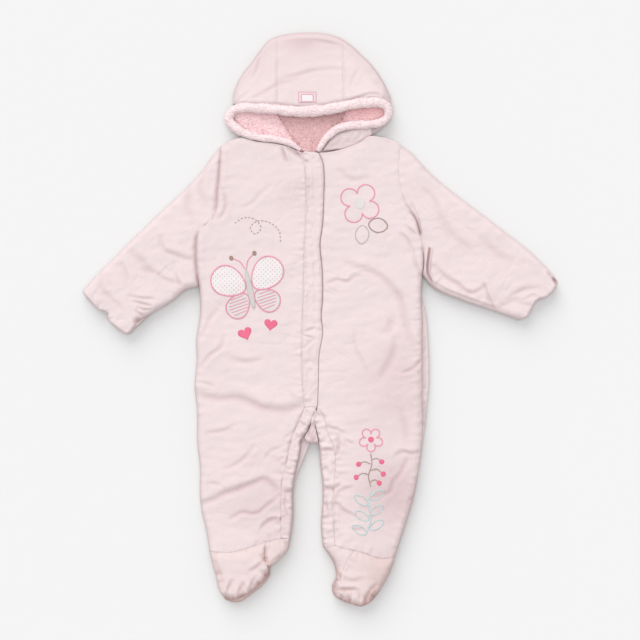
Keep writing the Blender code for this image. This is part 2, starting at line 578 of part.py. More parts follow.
def make_foot(side, vamp, foot_side, sole, materials):
    """Closed foot: sole below, vamp and inner side piece on it, gathered at the toe."""
    ankle = vamp["top_line"]
    down, across = steps(10, 0.04), steps(9, 0.04)
    vamp_plan = patch(course(vamp["left"], down), course(vamp["right"], down), across,
                      top=ankle, bottom=vamp["bottom"])
    seam_side = vamp_plan[:, -1] if side == "right" else vamp_plan[:, 0]
    free_side = vamp_plan[:, 0] if side == "right" else vamp_plan[:, -1]
    borders = [(free_side, (14.0, 0.14)), (vamp_plan[-1], (12.0, 0.14)),
               (vamp_plan[0], (9.0, 0.52)), (seam_side, (7.0, 0.5))]
    high = FRONT_BASE + VAMP_WALL * swell(vamp_plan, borders) - troughs(vamp_plan, FOOT_FOLDS)
    slab(f"vamp_{side}", vamp_plan, FRONT_BASE, np.maximum(high, FRONT_BASE + EDGE_WALL), materials["foot"])

    down, across = steps(7, 0.06), steps(6, 0.06)
    side_plan = patch(course(foot_side["left"], down), course(foot_side["right"], down), across,
                      top=foot_side["top_line"])
    seam_side = side_plan[:, 0] if side == "right" else side_plan[:, -1]
    free_side = side_plan[:, -1] if side == "right" else side_plan[:, 0]
    borders = [(free_side, (9.0, 0.14)), (seam_side, TIGHT_SEAM), (side_plan[0], SEAM_VALLEY),
               (side_plan[-1], (5.0, 0.3))]
    high = FRONT_BASE + FOOT_SIDE_WALL * swell(side_plan, borders)
    slab(f"foot_side_{side}", side_plan, FRONT_BASE, high, materials["foot"])

    down, across = steps(10, 0.04), steps(9, 0.05)
    sole_plan = patch(course(sole["left"], down), course(sole["right"], down), across,
                      top=sole["top_line"], bottom=sole["bottom"])
    around = np.vstack([sole_plan[:, 0], sole_plan[-1], sole_plan[::-1, -1]])
    low = np.minimum(SOLE_WALL * (1 - swell(sole_plan, [(around, FLOOR_EDGE)])), SOLE_WALL - EDGE_WALL)
    slab(f"sole_{side}", sole_plan, low, SOLE_WALL, materials["sole"])


for old in list(bpy.data.objects):
    bpy.data.objects.remove(old)
garment = bpy.data.collections.new("baby_snowsuit")
bpy.context.scene.collection.children.link(garment)

SHELL = cloth("cotton_shell", (0.86, 0.74, 0.75), 0.85)
PLUSH = cloth("plush_lining", (0.84, 0.52, 0.55), 0.95)
RIM = cloth("plush_rim", (0.90, 0.76, 0.77), 0.95)
FOOT = cloth("foot_cloth", (0.84, 0.70, 0.71), 0.85)
LABEL = cloth("woven_patch", (0.88, 0.45, 0.56), 0.8)

make_back(SHELL)
make_front_right(SHELL)
make_front_left(SHELL)
make_placket(SHELL)
make_band("leg_band_right", BAND_RIGHT_OUTER, BAND_RIGHT_INNER, SHELL)
make_band("leg_band_left", moved(BAND_LEFT_OUTER, -0.4), BAND_LEFT_INNER, SHELL)
make_gusset(SHELL)

arm_steps = steps(ARM_ROWS, ARM_STEP)
make_sleeve(
    "sleeve_right",
    upper=[(-121.5, 210.9), (-129, 202.5), (-143, 183.5), (-205, 121.5), (-246, 81), (-282.5, 43.5),
           (-290.5, 34)],
    lower=[(-148.1, 40.4), (-163.5, 36.5), (-181, 22.5), (-199, 11.5), (-221.5, -2)],
    armhole=course(ARMHOLE_RIGHT, arm_steps) + SLEEVE_OFFSET_RIGHT,
    cuff=[(-280, 21.5), (-269.5, 11.5), (-259, 6.5), (-259, 1.5), (-249.5, -9), (-234, -17.5), (-226, -9.5)],
    material=SHELL)
make_sleeve(
    "sleeve_left",
    upper=[(98.1, 213.3), (112, 203.3), (130.5, 183.5), (215, 115.5), (263.5, 76.5), (284.5, 54.5),
           (290.5, 46)],
    lower=[(125.5, 54.3), (136.5, 41), (172, 24), (212.5, 10.5), (243, -0.6)],
    armhole=course(ARMHOLE_LEFT, arm_steps) + SLEEVE_OFFSET_LEFT,
    cuff=[(286, 36), (277, 27.5), (264.5, 22.5), (258, 12), (252.5, 3)],
    material=SHELL)

station_x = HOOD_STATIONS[:, 0]
right_x = station_x[station_x <= HOOD_SEAM_RIGHT].copy()
right_x[-1] = HOOD_SEAM_RIGHT - SEAM_GAP / 2
left_x = station_x[station_x >= HOOD_SEAM_LEFT].copy()
left_x[0] = HOOD_SEAM_LEFT + SEAM_GAP / 2
centre_x = [HOOD_SEAM_RIGHT + SEAM_GAP / 2, -44, -30, -12, 6, 20, HOOD_SEAM_LEFT - SEAM_GAP / 2]
make_hood_panel("hood_side_right", right_x, [HOOD_SEAM_RIGHT], SHELL)
make_hood_panel("hood_centre", centre_x, [HOOD_SEAM_RIGHT, HOOD_SEAM_LEFT], SHELL)
make_hood_panel("hood_side_left", left_x, [HOOD_SEAM_LEFT], SHELL)
make_lap(SHELL)

make_lining("lining_centre", [(-55.5, 290), (-49.8, 248), (-36, 225), (-23.2, 206)],
            [(33, 290), (29.5, 250), (22, 234), (8, 218), (-3.4, 205)], LINING_CENTRE_WALL, PLUSH)
make_lining("lining_side_right", [(-84, 273), (-91, 262), (-97, 250), (-94, 237), (-88, 228.5)],
            [(-56, 290), (-50.3, 248), (-36.6, 225.2), (-26, 208.6)], LINING_SIDE_WALL, PLUSH,
            bottom=[(-76, 220.5), (-55, 217.6), (-38, 213.4)])
make_lining("lining_side_left", [(33.6, 288), (30.1, 250), (24.6, 237.5)],
            [(64, 280), (71, 266), (72, 252), (67, 243)], LINING_SIDE_WALL, PLUSH,
            bottom=[(38, 234.5), (54, 236.5)])
make_rim(RIM)
make_label(LABEL)

FEET_CLOTH = {"foot": FOOT, "sole": FOOT}
make_foot(
    "right",
    vamp={"left": [(-135, -283.6), (-132, -295), (-127, -314), (-122, -333), (-115.5, -341.5)],
          "right": [(-66, -271.2), (-67, -280), (-67, -292), (-64, -300), (-62.6, -312.5)],
          "top_line": [(-111, -284.2), (-75, -274.6)],
          "bottom": [(-107, -342.6), (-97.5, -340), (-83, -332)]},
    foot_side={"left": [(-65.6, -271.2), (-66.5, -280), (-66.5, -292), (-63.4, -299)],
               "right": [(-37.6, -267.6), (-39, -281), (-48, -292), (-58.6, -301.6)],
               "top_line": [(-61, -269.6), (-50, -267.6)]},
    sole={"left": [(-134.6, -284.4), (-131.6, -295), (-126.6, -314), (-121.6, -333), (-115.8, -342)],
          "right": [(-37.9, -267.8), (-39, -281), (-48, -292), (-60, -303), (-61.2, -313)],
          "top_line": [(-111, -285.2), (-75, -276), (-58, -271)],
          "bottom": [(-108.6, -345), (-100, -345.6), (-84, -336), (-68, -322.5)]},
    materials=FEET_CLOTH)
make_foot(
    "left",
    vamp={"left": [(40.6, -281.8), (27.2, -305.6), (21.5, -318), (15, -325)],
          "right": [(91.6, -289.2), (90, -296), (83, -314), (72, -333)],
          "top_line": [(50, -284.2), (77, -291.6)],
          "bottom": [(16, -334.5), (29.5, -344.5), (41.5, -348.5), (49, -350.5), (57, -348), (65, -341.5)]},
    foot_side={"left": [(3.8, -277.2), (14.6, -292), (19.3, -303), (20.6, -315.5)],
               "right": [(40, -281.4), (26.4, -305.2), (21.6, -316)],
               "top_line": [(25.6, -278.2)]},
    sole={"left": [(3.6, -277.6), (13.8, -292), (18.4, -303), (19.6, -315), (14.6, -325)],
          "right": [(91.6, -289.6), (90, -296), (83, -314), (72, -333.2)],
          "top_line": [(26, -278.6), (50, -284.6), (77, -292)],
          "bottom": [(16, -335), (29.5, -344.8), (41.5, -348.7), (49, -350.5), (57, -348), (65, -341.7)]},
    materials=FEET_CLOTH)
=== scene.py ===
# %% [markdown]
# # A padded baby snowsuit, laid flat on its back
# The garment is a cotton shell over thin wadding, with a plush-lined hood, closed feet, a hidden row
# of poppers down the front and embroidered motifs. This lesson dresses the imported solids, one cut
# piece after another. Right and left are the wearer's: the wearer's right side lies at -X, the hood
# points to +Y, and the front faces +Z.

import json

import bpy
import numpy as np
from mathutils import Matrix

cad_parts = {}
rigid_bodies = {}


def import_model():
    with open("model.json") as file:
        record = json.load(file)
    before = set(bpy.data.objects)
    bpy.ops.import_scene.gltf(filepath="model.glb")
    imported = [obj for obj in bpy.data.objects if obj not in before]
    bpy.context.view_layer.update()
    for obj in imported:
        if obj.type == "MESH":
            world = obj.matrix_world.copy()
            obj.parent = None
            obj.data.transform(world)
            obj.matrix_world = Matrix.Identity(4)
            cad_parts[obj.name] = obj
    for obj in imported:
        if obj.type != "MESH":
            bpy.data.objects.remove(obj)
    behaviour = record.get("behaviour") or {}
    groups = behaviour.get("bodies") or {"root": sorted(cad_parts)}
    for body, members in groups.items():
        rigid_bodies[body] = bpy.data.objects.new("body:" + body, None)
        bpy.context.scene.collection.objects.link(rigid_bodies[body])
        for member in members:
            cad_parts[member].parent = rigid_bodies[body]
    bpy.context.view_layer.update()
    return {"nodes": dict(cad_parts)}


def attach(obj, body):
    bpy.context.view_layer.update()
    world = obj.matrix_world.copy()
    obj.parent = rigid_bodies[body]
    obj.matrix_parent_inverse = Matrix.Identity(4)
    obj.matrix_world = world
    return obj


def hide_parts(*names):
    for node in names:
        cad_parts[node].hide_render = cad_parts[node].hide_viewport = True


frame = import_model()

# %% [markdown]
# ## Camera, table and light
# A garment shown flat is looked at from straight above. A long lens from 2.6 m keeps the sleeves and
# the feet from leaning outwards. A wide light box overhead keeps the pale table even, a second one
# beyond the hood gives the folds their soft side, and the sky fills the rest. Two sun lamps with wide
# angles stand for the boxes, because their light is the same all over the table.

# %% Camera
CAMERA_HEIGHT, CAMERA_SHIFT, SEEN_WIDTH, GARMENT_LEVEL = 2.6, -0.0006, 0.7808, 0.012
camera_data = bpy.data.cameras.new("overhead")
camera_data.sensor_width = 36.0
camera_data.lens = camera_data.sensor_width * (CAMERA_HEIGHT - GARMENT_LEVEL) / SEEN_WIDTH
camera = bpy.data.objects.new("overhead", camera_data)
camera.location = (0.0, CAMERA_SHIFT, CAMERA_HEIGHT)
bpy.context.scene.collection.objects.link(camera)
bpy.context.scene.camera = camera
print("lens in mm:", round(camera_data.lens, 1))

# %% Light
LIGHT_LEVEL = 1.35
SKY_STRENGTH, OVERHEAD_SUN, KEY_SUN = 0.50 * LIGHT_LEVEL, 0.80 * LIGHT_LEVEL, 1.36 * LIGHT_LEVEL


def sun(name, place, strength, softness):
    """Sun lamp that shines from place to the middle of the table: its -Z axis runs along minus place."""
    lamp = bpy.data.lights.new(name, "SUN")
    lamp.energy, lamp.angle = strength, np.radians(softness)
    holder = bpy.data.objects.new(name, lamp)
    holder.location = place
    holder.rotation_euler = (-holder.location).to_track_quat("-Z", "Y").to_euler()
    bpy.context.scene.collection.objects.link(holder)
    return holder


overhead = sun("overhead_box", (0.0, 0.0, 3.0), OVERHEAD_SUN, 34)
key = sun("key_box", (-0.75, 2.20, 1.7), KEY_SUN, 50)
sky = bpy.data.worlds.new("even_sky")
sky.use_nodes = True
background = sky.node_tree.nodes["Background"].inputs
background["Color"].default_value, background["Strength"].default_value = (1.0, 1.0, 1.0, 1.0), SKY_STRENGTH
bpy.context.scene.world = sky
bpy.context.scene.view_settings.view_transform = "Standard"
print("lamps:", overhead.name, key.name)

# %% [markdown]
# ## Cloth finishes
# Effects that several cloths share are node groups: the weave, the shade painted into folds and seams, the
# curls of the plush and the twist of a thread. A group gives out only values and colours, and every
# material keeps its own shader, with its roughness and sheen typed on the shader's own sockets.


# %% Small helpers for nodes
def linear(red, green, blue):
    """Colour as seen, 0 to 255, as the share of light sent back: ((c/255 + 0.055)/1.055)^2.4 / level."""
    share = np.array([red, green, blue]) / 255.0
    light = np.where(share <= 0.04045, share / 12.92, ((share + 0.055) / 1.055) ** 2.4)
    return (*(light / LIGHT_LEVEL).tolist(), 1.0)


def wire(tree, made, wires):
    """Puts numbers or links on the sockets of a node."""
    for socket, value in wires.items():
        if isinstance(value, bpy.types.NodeSocket):
            tree.links.new(value, made.inputs[socket])
        else:
            made.inputs[socket].default_value = value


def node(tree, kind, wires=None, **settings):
    """New node: settings are its own choices, wires are numbers or links for its sockets."""
    made = tree.nodes.new(kind)
    for key_name, value in settings.items():
        setattr(made, key_name, value)
    wire(tree, made, wires or {})
    return made


SIGNS = {"*": "MULTIPLY", "+": "ADD", "-": "SUBTRACT", "/": "DIVIDE"}
FULL_TURN = 6.2832


def math(tree, operation, first, second=0.0):
    """Result of one Math node; operation is a sign or the node's own word."""
    return node(tree, "ShaderNodeMath", {0: first, 1: second}, operation=SIGNS.get(operation, operation)).outputs[0]


def new_group(name, inputs, outputs):
    """Empty node group with named inputs (name, kind, value) and outputs (name, kind)."""
    group = bpy.data.node_groups.new(name, "ShaderNodeTree")
    for label, kind, value in inputs:
        socket = group.interface.new_socket(label, in_out="INPUT", socket_type=f"NodeSocket{kind}")
        socket.default_value = value
    for label, kind in outputs:
        group.interface.new_socket(label, in_out="OUTPUT", socket_type=f"NodeSocket{kind}")
    return group, group.nodes.new("NodeGroupInput").outputs, group.nodes.new("NodeGroupOutput").inputs


# %% Weave: two crossed rows of threads, with slubs and a little unevenness in the dye
weave, given, out = new_group("plain_weave", [("Threads per metre", "Float", 1500.0), ("Slub", "Float", 0.3)],
                              [("Height", "Float"), ("Tone", "Float")])
place = node(weave, "ShaderNodeTexCoord").outputs["Object"]
slub = node(weave, "ShaderNodeTexNoise", {"Vector": place, "Scale": 420.0, "Detail": 3.0}).outputs["Fac"]
axes = node(weave, "ShaderNodeSeparateXYZ", {0: place}).outputs
turns = math(weave, "*", given["Threads per metre"], FULL_TURN)
warp = math(weave, "SINE", math(weave, "*", axes["X"], turns))
weft = math(weave, "SINE", math(weave, "*", axes["Y"], turns))
crossing = math(weave, "*", warp, weft)
weave.links.new(math(weave, "+", crossing, math(weave, "*", slub, given["Slub"])), out["Height"])
patchy = node(weave, "ShaderNodeTexNoise", {"Vector": place, "Scale": 22.0, "Detail": 4.0}).outputs["Fac"]
flecks = node(weave, "ShaderNodeTexNoise", {"Vector": place, "Scale": 900.0, "Detail": 2.0}).outputs["Fac"]
weave.links.new(math(weave, "+", math(weave, "*", patchy, 0.6), math(weave, "*", flecks, 0.4)), out["Tone"])
print("group:", weave.name)

# %% Painted shade: the mesh carries a number called fold, and the colour darkens towards the shade colour where it is high
shade_painting, given, out = new_group(
    "painted_fold_shade", [("Cloth", "Color", (1, 1, 1, 1)), ("Painted shade", "Color", (1, 0.8, 0.8, 1)), ("Tone", "Float", 0.5),
                  ("Unevenness", "Float", 0.04)], [("Color", "Color")])
depth = node(shade_painting, "ShaderNodeAttribute", attribute_name="fold").outputs["Fac"]
mixed = node(shade_painting, "ShaderNodeMix", {"Factor": depth, "A": given["Cloth"], "B": given["Painted shade"]},
             data_type="RGBA")
uneven = math(shade_painting, "*", math(shade_painting, "-", given["Tone"], 0.5), given["Unevenness"])
shift = math(shade_painting, "+", uneven, 1.0)
shade = node(shade_painting, "ShaderNodeHueSaturation", {"Value": shift, "Color": mixed.outputs["Result"]})
shade_painting.links.new(shade.outputs["Color"], out["Color"])
print("group:", shade_painting.name)

# %% Plush: small round curls, with painted shade between them at their roots
curls, given, out = new_group("plush_curls", [("Curls per metre", "Float", 420.0)],
                              [("Height", "Float"), ("Tone", "Float")])
place = node(curls, "ShaderNodeTexCoord").outputs["Object"]
bent = node(curls, "ShaderNodeTexNoise", {"Vector": place, "Scale": 260.0, "Detail": 2.0}).outputs["Color"]
lean = node(curls, "ShaderNodeVectorMath", {0: bent, "Scale": 0.0022}, operation="SCALE").outputs["Vector"]
moved_place = node(curls, "ShaderNodeVectorMath", {0: place, 1: lean}, operation="ADD").outputs["Vector"]
cells = node(curls, "ShaderNodeTexVoronoi", {"Vector": moved_place, "Scale": given["Curls per metre"]})
curl = math(curls, "-", 1.0, cells.outputs["Distance"])
hairs = node(curls, "ShaderNodeTexNoise", {"Vector": moved_place, "Scale": 1900.0, "Detail": 3.0}).outputs["Fac"]
curls.links.new(math(curls, "+", curl, math(curls, "*", hairs, 0.5)), out["Height"])
curls.links.new(math(curls, "+", math(curls, "*", curl, 0.7), math(curls, "*", hairs, 0.3)), out["Tone"])
print("group:", curls.name)

# %% Thread: slanted strands along the stitch, read from the piece's own UV map in millimetres, with painted shade in the grooves between them
strands, given, out = new_group("twisted_thread", [("Strands per mm", "Float", 1.6), ("Slant", "Float", 0.8)],
                                [("Height", "Float"), ("Tone", "Float")])
own = node(strands, "ShaderNodeUVMap", uv_map="along").outputs["UV"]
axes = node(strands, "ShaderNodeSeparateXYZ", {0: own}).outputs
slanted = math(strands, "+", axes["X"], math(strands, "*", axes["Y"], given["Slant"]))
turns = math(strands, "*", given["Strands per mm"], FULL_TURN)
rows = math(strands, "SINE", math(strands, "*", slanted, turns))
strands.links.new(rows, out["Height"])
strands.links.new(math(strands, "+", math(strands, "*", rows, 0.5), 0.5), out["Tone"])
print("group:", strands.name)


# %% One recipe for every cloth: a pattern group, its tint and its bump, on a plain shader
def finish_cloth(name, pattern, pattern_values, cloth, fold, unevenness, bump_depth, roughness, sheen):
    """Material whose colour and bump come from the pattern group; bump_depth is in metres."""
    material = bpy.data.materials.new(name)
    material.use_nodes = True
    tree = material.node_tree
    shader = tree.nodes["Principled BSDF"]
    source = node(tree, "ShaderNodeGroup", pattern_values, node_tree=pattern)
    # fold is the cloth's painted shade colour, laid on where the mesh's fold number is high
    color = node(tree, "ShaderNodeGroup", {"Cloth": linear(*cloth), "Painted shade": linear(*fold), "Unevenness": unevenness,
                                           "Tone": source.outputs["Tone"]}, node_tree=shade_painting)
    bump = node(tree, "ShaderNodeBump", {"Strength": 1.0, "Distance": bump_depth, "Height": source.outputs["Height"]})
    wire(tree, shader, {"Base Color": color.outputs["Color"], "Normal": bump.outputs["Normal"],
                        "Roughness": roughness, "Sheen Weight": sheen, "Sheen Roughness": 0.5,
                        "Specular IOR Level": 0.25})
    return material


# The second colour of each cloth is its painted shade, for folds, seams and steep sides.
SHELL = finish_cloth("shell_cotton", weave, {"Threads per metre": 1500.0, "Slub": 0.5}, (247, 229, 230),
                     (216, 186, 187), 0.05, 0.00006, 0.86, 0.05)
FOOT = finish_cloth("foot_cotton", weave, {"Threads per metre": 1500.0, "Slub": 0.6}, (247, 229, 228),
                    (208, 168, 162), 0.05, 0.00007, 0.86, 0.05)
# The three linings are one plush with painted light and shade: lit on the wearer's right side, in deep shade in the
# middle of the hood, shaded on the left side.
LINING_DEEP_SHADE, LINING_LIT, LINING_SHADED, RIM = (
    finish_cloth(name, curls, {"Curls per metre": 430.0}, cloth, fold, unevenness, bump_depth, 0.95, 0.1)
    for name, cloth, fold, unevenness, bump_depth in (
        ("lining_plush_deep_shade", (258, 216, 217), (228, 176, 178), 0.12, 0.0003),
        ("lining_plush_lit", (272, 237, 240), (268, 216, 220), 0.12, 0.0003),
        ("lining_plush_shaded", (270, 227, 229), (262, 198, 200), 0.12, 0.0003),
        ("rim_plush", (263, 242, 244), (262, 231, 233), 0.05, 0.0002)))
print("cloths:", [m.name for m in (SHELL, FOOT, LINING_DEEP_SHADE, LINING_LIT, LINING_SHADED, RIM)])

# %% The table
table_cloth = bpy.data.materials.new("plain_table")
table_cloth.use_nodes = True
wire(table_cloth.node_tree, table_cloth.node_tree.nodes["Principled BSDF"],
     {"Base Color": linear(244, 244, 244), "Roughness": 0.9, "Specular IOR Level": 0.1})
table_mesh = bpy.data.meshes.new("table")
TABLE_HALF, TABLE_LEVEL = 4.0, -0.0006
table_corners = [(x * TABLE_HALF, y * TABLE_HALF, TABLE_LEVEL) for x, y in ((-1, -1), (1, -1), (1, 1), (-1, 1))]
table_mesh.from_pydata(table_corners, [], [(0, 1, 2, 3)])
table_mesh.materials.append(table_cloth)
table = bpy.data.objects.new("table", table_mesh)
bpy.context.scene.collection.objects.link(table)
print("table:", 2 * TABLE_HALF, "m wide")

# %% [markdown]
# ## Lines and plans
# Every piece starts as a pattern piece seen from above, in millimetres from the garment's middle.
# A few points make each seam line, a smooth cubic runs through them, and the piece's grid is filled
# in between its border lines. Neighbours share a seam line and meet along it with the solids' gap.

# %% Sizes of the grid
CELL = 1.5
SOFT_ROWS = np.array([0.35, 1.0, 2.0, 3.3])
MM = 0.001


def spacing(length, cell=CELL):
    """Fractions of a line: small steps at 0.35, 1, 2 and 3.3 mm from both ends, even cells between."""
    inside = length - 2 * SOFT_ROWS[-1]
    even = np.linspace(SOFT_ROWS[-1], length - SOFT_ROWS[-1], max(3, round(inside / cell) + 1))
    return np.r_[0, SOFT_ROWS[:-1], even, length - SOFT_ROWS[-2::-1], length] / length


def run_length(line):
    """Length of a broken line up to each of its points."""
    return np.r_[0.0, np.cumsum(np.linalg.norm(np.diff(line, axis=0), axis=1))]


def cubic(knots, values, at):
    """Smooth curve through values at knots, read at any points; beyond the ends it stays level.

    Between knots a and b at share t: a + t(b-a) + t(1-t)((1-t)(h·slope_a-(b-a)) - t(h·slope_b-(b-a))).
    """
    slope = np.gradient(values, knots, axis=0)
    cell = np.clip(np.searchsorted(knots, at, side="right") - 1, 0, len(knots) - 2)
    span = (knots[cell + 1] - knots[cell])[..., None]
    t = np.clip((at - knots[cell])[..., None] / span, 0, 1)
    rise = values[cell + 1] - values[cell]
    bend = t * (1 - t) * ((1 - t) * (span * slope[cell] - rise) - t * (span * slope[cell + 1] - rise))
    return values[cell] + t * rise + bend


def course(points, fractions):
    """Smooth line through a few points, read at fractions of it."""
    points = np.asarray(points, float)
    way = run_length(points)
    return cubic(way, points, np.asarray(fractions) * way[-1])


def read_at(line, run):
    """Points of a broken line at given runs along it."""
    return np.stack([np.interp(run, run_length(line), line[:, axis]) for axis in range(2)], -1)


def to_left(ahead):
    """Unit step to the left of each direction in plan."""
    ahead = ahead / (np.linalg.norm(ahead, axis=-1)[:, None] + 1e-9)
    return np.stack([-ahead[:, 1], ahead[:, 0]], -1)


def numbers(table):
    """Each row of a text table as an array of its numbers."""
    return [np.array(row.split(), float) for row in table.strip().splitlines()]


def xy(row):
    """Points in plan from one row of numbers, x and y in turn."""
    return np.array(row.split(), float).reshape(-1, 2)


def folds(table):
    """Folds from rows of numbers: depth and half width, then x and y of each point of the fold's line."""
    return [(row[0], row[1], row[2:].reshape(-1, 2)) for row in numbers(table)]


def patch(left, right, across, top=(), bottom=()):
    """Plan grid between two side lines: straight rows, bent near the ends to follow top and bottom.

    point(u, v) = (1-u)·left(v) + u·right(v) + (1-v)·(top(u) - row0(u)) + v·(bottom(u) - rowN(u)).
    """
    u = np.asarray(across)[None, :, None]
    grid = (1 - u) * left[:, None] + u * right[:, None]
    way = run_length((left + right) / 2)
    v = (way / way[-1])[:, None, None]
    for row, inner_points, share in ((0, top, 1 - v), (-1, bottom, v)):
        if len(inner_points) == len(across):
            grid = grid + share * (inner_points - grid[row])
        elif len(inner_points):
            grid = grid + share * (course([left[row], *inner_points, right[row]], across) - grid[row])
    return grid


print("cell:", CELL, "mm")


# %% Nearness: distance, side and share of a line for every point of a plan
MOST_POINTS = 70


def near(plan, line):
    """Distance to a broken line, side (+1 on its left) and share (0 to 1 along it).

    For each stretch a-b: t = clip((p-a)·(b-a)/|b-a|², 0, 1), d = |p - a - t(b-a)|; the least d is kept.
    """
    line = np.asarray(line, float)
    if len(line) > MOST_POINTS:
        line = line[np.unique(np.linspace(0, len(line) - 1, MOST_POINTS).round().astype(int))]
    flat = np.asarray(plan, float).reshape(-1, 2)
    way, total = run_length(line), run_length(line)[-1]
    best = np.full(len(flat), np.inf)
    side, share = np.ones(len(flat)), np.zeros(len(flat))
    for a, b, gone in zip(line[:-1], line[1:], way):
        along = b - a
        size = max(float(along @ along), 1e-9)
        offset = flat - a
        t = np.clip(offset @ along / size, 0, 1)
        far = np.hypot(offset[:, 0] - t * along[0], offset[:, 1] - t * along[1])
        closer = far < best
        best[closer] = far[closer]
        side[closer] = np.where(along[0] * offset[closer, 1] - along[1] * offset[closer, 0] >= 0, 1.0, -1.0)
        share[closer] = (gone + t[closer] * np.sqrt(size)) / max(total, 1e-9)
    shape = np.shape(plan)[:-1]
    return best.reshape(shape), side.reshape(shape), share.reshape(shape)


print("3 mm above a line:", [float(part[0]) for part in near([[0.0, 3.0]], [(-5, 0), (5, 0)])])

# %% [markdown]
# ## How padded cloth takes its height
# Wadding pushes the cloth up everywhere except where a seam holds it down, so a piece's height grows
# from its borders: like a quarter circle at a free edge, more gently at a seam. Folds are soft troughs
# with a raised lip on one side, and sewing draws the cloth in, so short ripples start at each seam.
# The wadding adds a broad unevenness and a few faint creases. The height is a function of the plan
# point alone, so threads and motifs can ask for the cloth under them.


# %% Swell, folds, puckers and rumple
def swell(plan, borders):
    """Share of full height: product over borders of e + (1-e)·rise(d/r), with d clipped at r.

    A border is (line, (reach r, edge share e)), and e may be a table of (share of line, e) pairs. A
    free edge rises like a quarter circle, sqrt(1 - (1 - d/r)²); a seam dips gently, sin(d/r·90°).
    """
    height = np.ones(np.shape(plan)[:-1])
    for line, (reach, edge) in borders:
        far, _, share = near(plan, line)
        if not np.isscalar(edge):
            table_of_edges = np.asarray(edge, float)
            edge = np.interp(share, table_of_edges[:, 0], table_of_edges[:, 1])
        inward = 1 - np.clip(far / reach, 0, 1)
        sewn = np.clip((np.asarray(edge) - 0.35) / 0.3, 0, 1)
        rise = (1 - sewn) * np.sqrt(1 - inward ** 2) + sewn * np.sin(np.pi / 2 * (1 - inward))
        height = height * (edge + (1 - edge) * rise)
    return height


def fold_depth(plan, folds, lip=0.5):
    """Sum over folds of 0.9·depth·run·(exp(-(d/w)²) - lip·exp(-((s-1.9w)/1.5w)²)).

    d is the distance to the fold's line, s the same with its side, and run eases from 0.45 at the
    two ends of the line to 1 in its middle.
    """
    flat = np.asarray(plan, float).reshape(-1, 2)
    total = np.zeros(len(flat))
    for most, half_width, points in folds:
        line = course(points, np.linspace(0, 1, 20))
        inside = np.all((flat > line.min(0) - 5 * half_width) & (flat < line.max(0) + 5 * half_width), axis=1)
        far, side, share = near(flat[inside], line)
        run = 0.45 + 0.55 * np.sin(np.pi * np.clip(share, 0, 1)) ** 0.7
        ridge = np.exp(-((far * side - 1.9 * half_width) / (1.5 * half_width)) ** 2)
        total[inside] += 0.9 * most * run * (np.exp(-(far / half_width) ** 2) - lip * ridge)
    return total.reshape(np.shape(plan)[:-1])


WAVES = 26


def waves(plan, length, seed, stretch=1.0, turn=0.0):
    """Soft random field of unit size: sqrt(2/n)·Σ cos(k·p + phase), wavelengths near length mm.

    The waves run in all directions, and the field is drawn out by stretch along the angle turn.
    """
    dice = np.random.default_rng(seed)
    angle, phase = dice.uniform(0, 2 * np.pi, (2, WAVES))
    number = 2 * np.pi / (length * dice.uniform(0.75, 1.5, WAVES))
    x, y = np.asarray(plan)[..., 0], np.asarray(plan)[..., 1]
    along = (x * np.cos(turn) + y * np.sin(turn)) / stretch
    over = -x * np.sin(turn) + y * np.cos(turn)
    return np.sqrt(2 / WAVES) * np.cos(along[..., None] * number * np.cos(angle)
                                       + over[..., None] * number * np.sin(angle) + phase).sum(-1)


def puckers(plan, seams):
    """Sum over seams (line, height, reach, pitch, seed) of height·min(d/1.5, 1)·exp(-d/reach)·ripple.

    The ripple is a random wave of the run along the seam, of about the pitch.
    """
    flat = np.asarray(plan, float).reshape(-1, 2)
    total = np.zeros(len(flat))
    for line, height, reach, pitch, seed in seams:
        line = np.asarray(line, float)
        inside = np.flatnonzero(np.all((flat > line.min(0) - 5 * reach) & (flat < line.max(0) + 5 * reach), axis=1))
        far, _, share = near(flat[inside], line)
        close = far < 5 * reach
        inside, far, share = inside[close], far[close], share[close]
        run = np.stack([share * run_length(line)[-1], far * 0.35], -1)
        total[inside] += height * np.minimum(far / 1.5, 1) * np.exp(-far / reach) * waves(run, pitch, seed)
    return total.reshape(np.shape(plan)[:-1])


def rumple(plan):
    """Unevenness of the wadding: broad waves, creases where bent waves cross zero, and fine crumple.

    Neighbours share the same field, so it runs on across their seams.
    """
    seed, turn = 20, 0.25
    bent = np.asarray(plan) + 5.0 * np.stack([waves(plan, 55, seed + 5), waves(plan, 55, seed + 6)], -1)
    broad = 0.55 * waves(plan, 62, seed, 1.6, turn) + 0.22 * waves(plan, 26, seed + 7, 1.5, turn)
    here = np.clip(waves(plan, 80, seed + 2) + 0.1, 0, 1)
    there = np.clip(waves(plan, 60, seed + 8), 0, 1)
    crease = -0.75 * here / (1 + (waves(bent, 40, seed + 1, 2.2, turn) / 0.10) ** 2) \
        - 0.45 * there / (1 + (waves(bent, 24, seed + 9, 1.6, turn + 1.1) / 0.14) ** 2)
    fine = 0.16 * waves(plan, 11, seed + 3, 1.8, turn) + 0.06 * waves(plan, 5.5, seed + 4)
    return 0.7 * (broad + crease + fine)


def joined(own, line, neighbour, reach):
    """Height that meets its neighbour at a seam: own(p) + (theirs - own at the seam)·exp(-(d/reach)²)."""
    def height(points):
        far, _, share = near(points, line)
        way = run_length(line)
        step = np.interp(share, way / way[-1], neighbour(line) - own(line))
        return own(points) + step * np.exp(-(far / reach) ** 2)

    return height


print("share of height 1, 6 and 12 mm in from a free edge:",
      swell(np.array([[0.0, 1.0], [0.0, 6.0], [0.0, 12.0]]), [([(-50, 0), (50, 0)], (12.0, 0.14))]).round(2))


# %% [markdown]
# ## From a plan to a closed piece of cloth
# A cut piece has two faces and an edge all round. The two faces are the same grid at two heights,
# and the rim cells join them, so the piece stays closed. Tubes, such as a sleeve, close round on
# themselves. The mesh gets its points and faces as whole arrays.


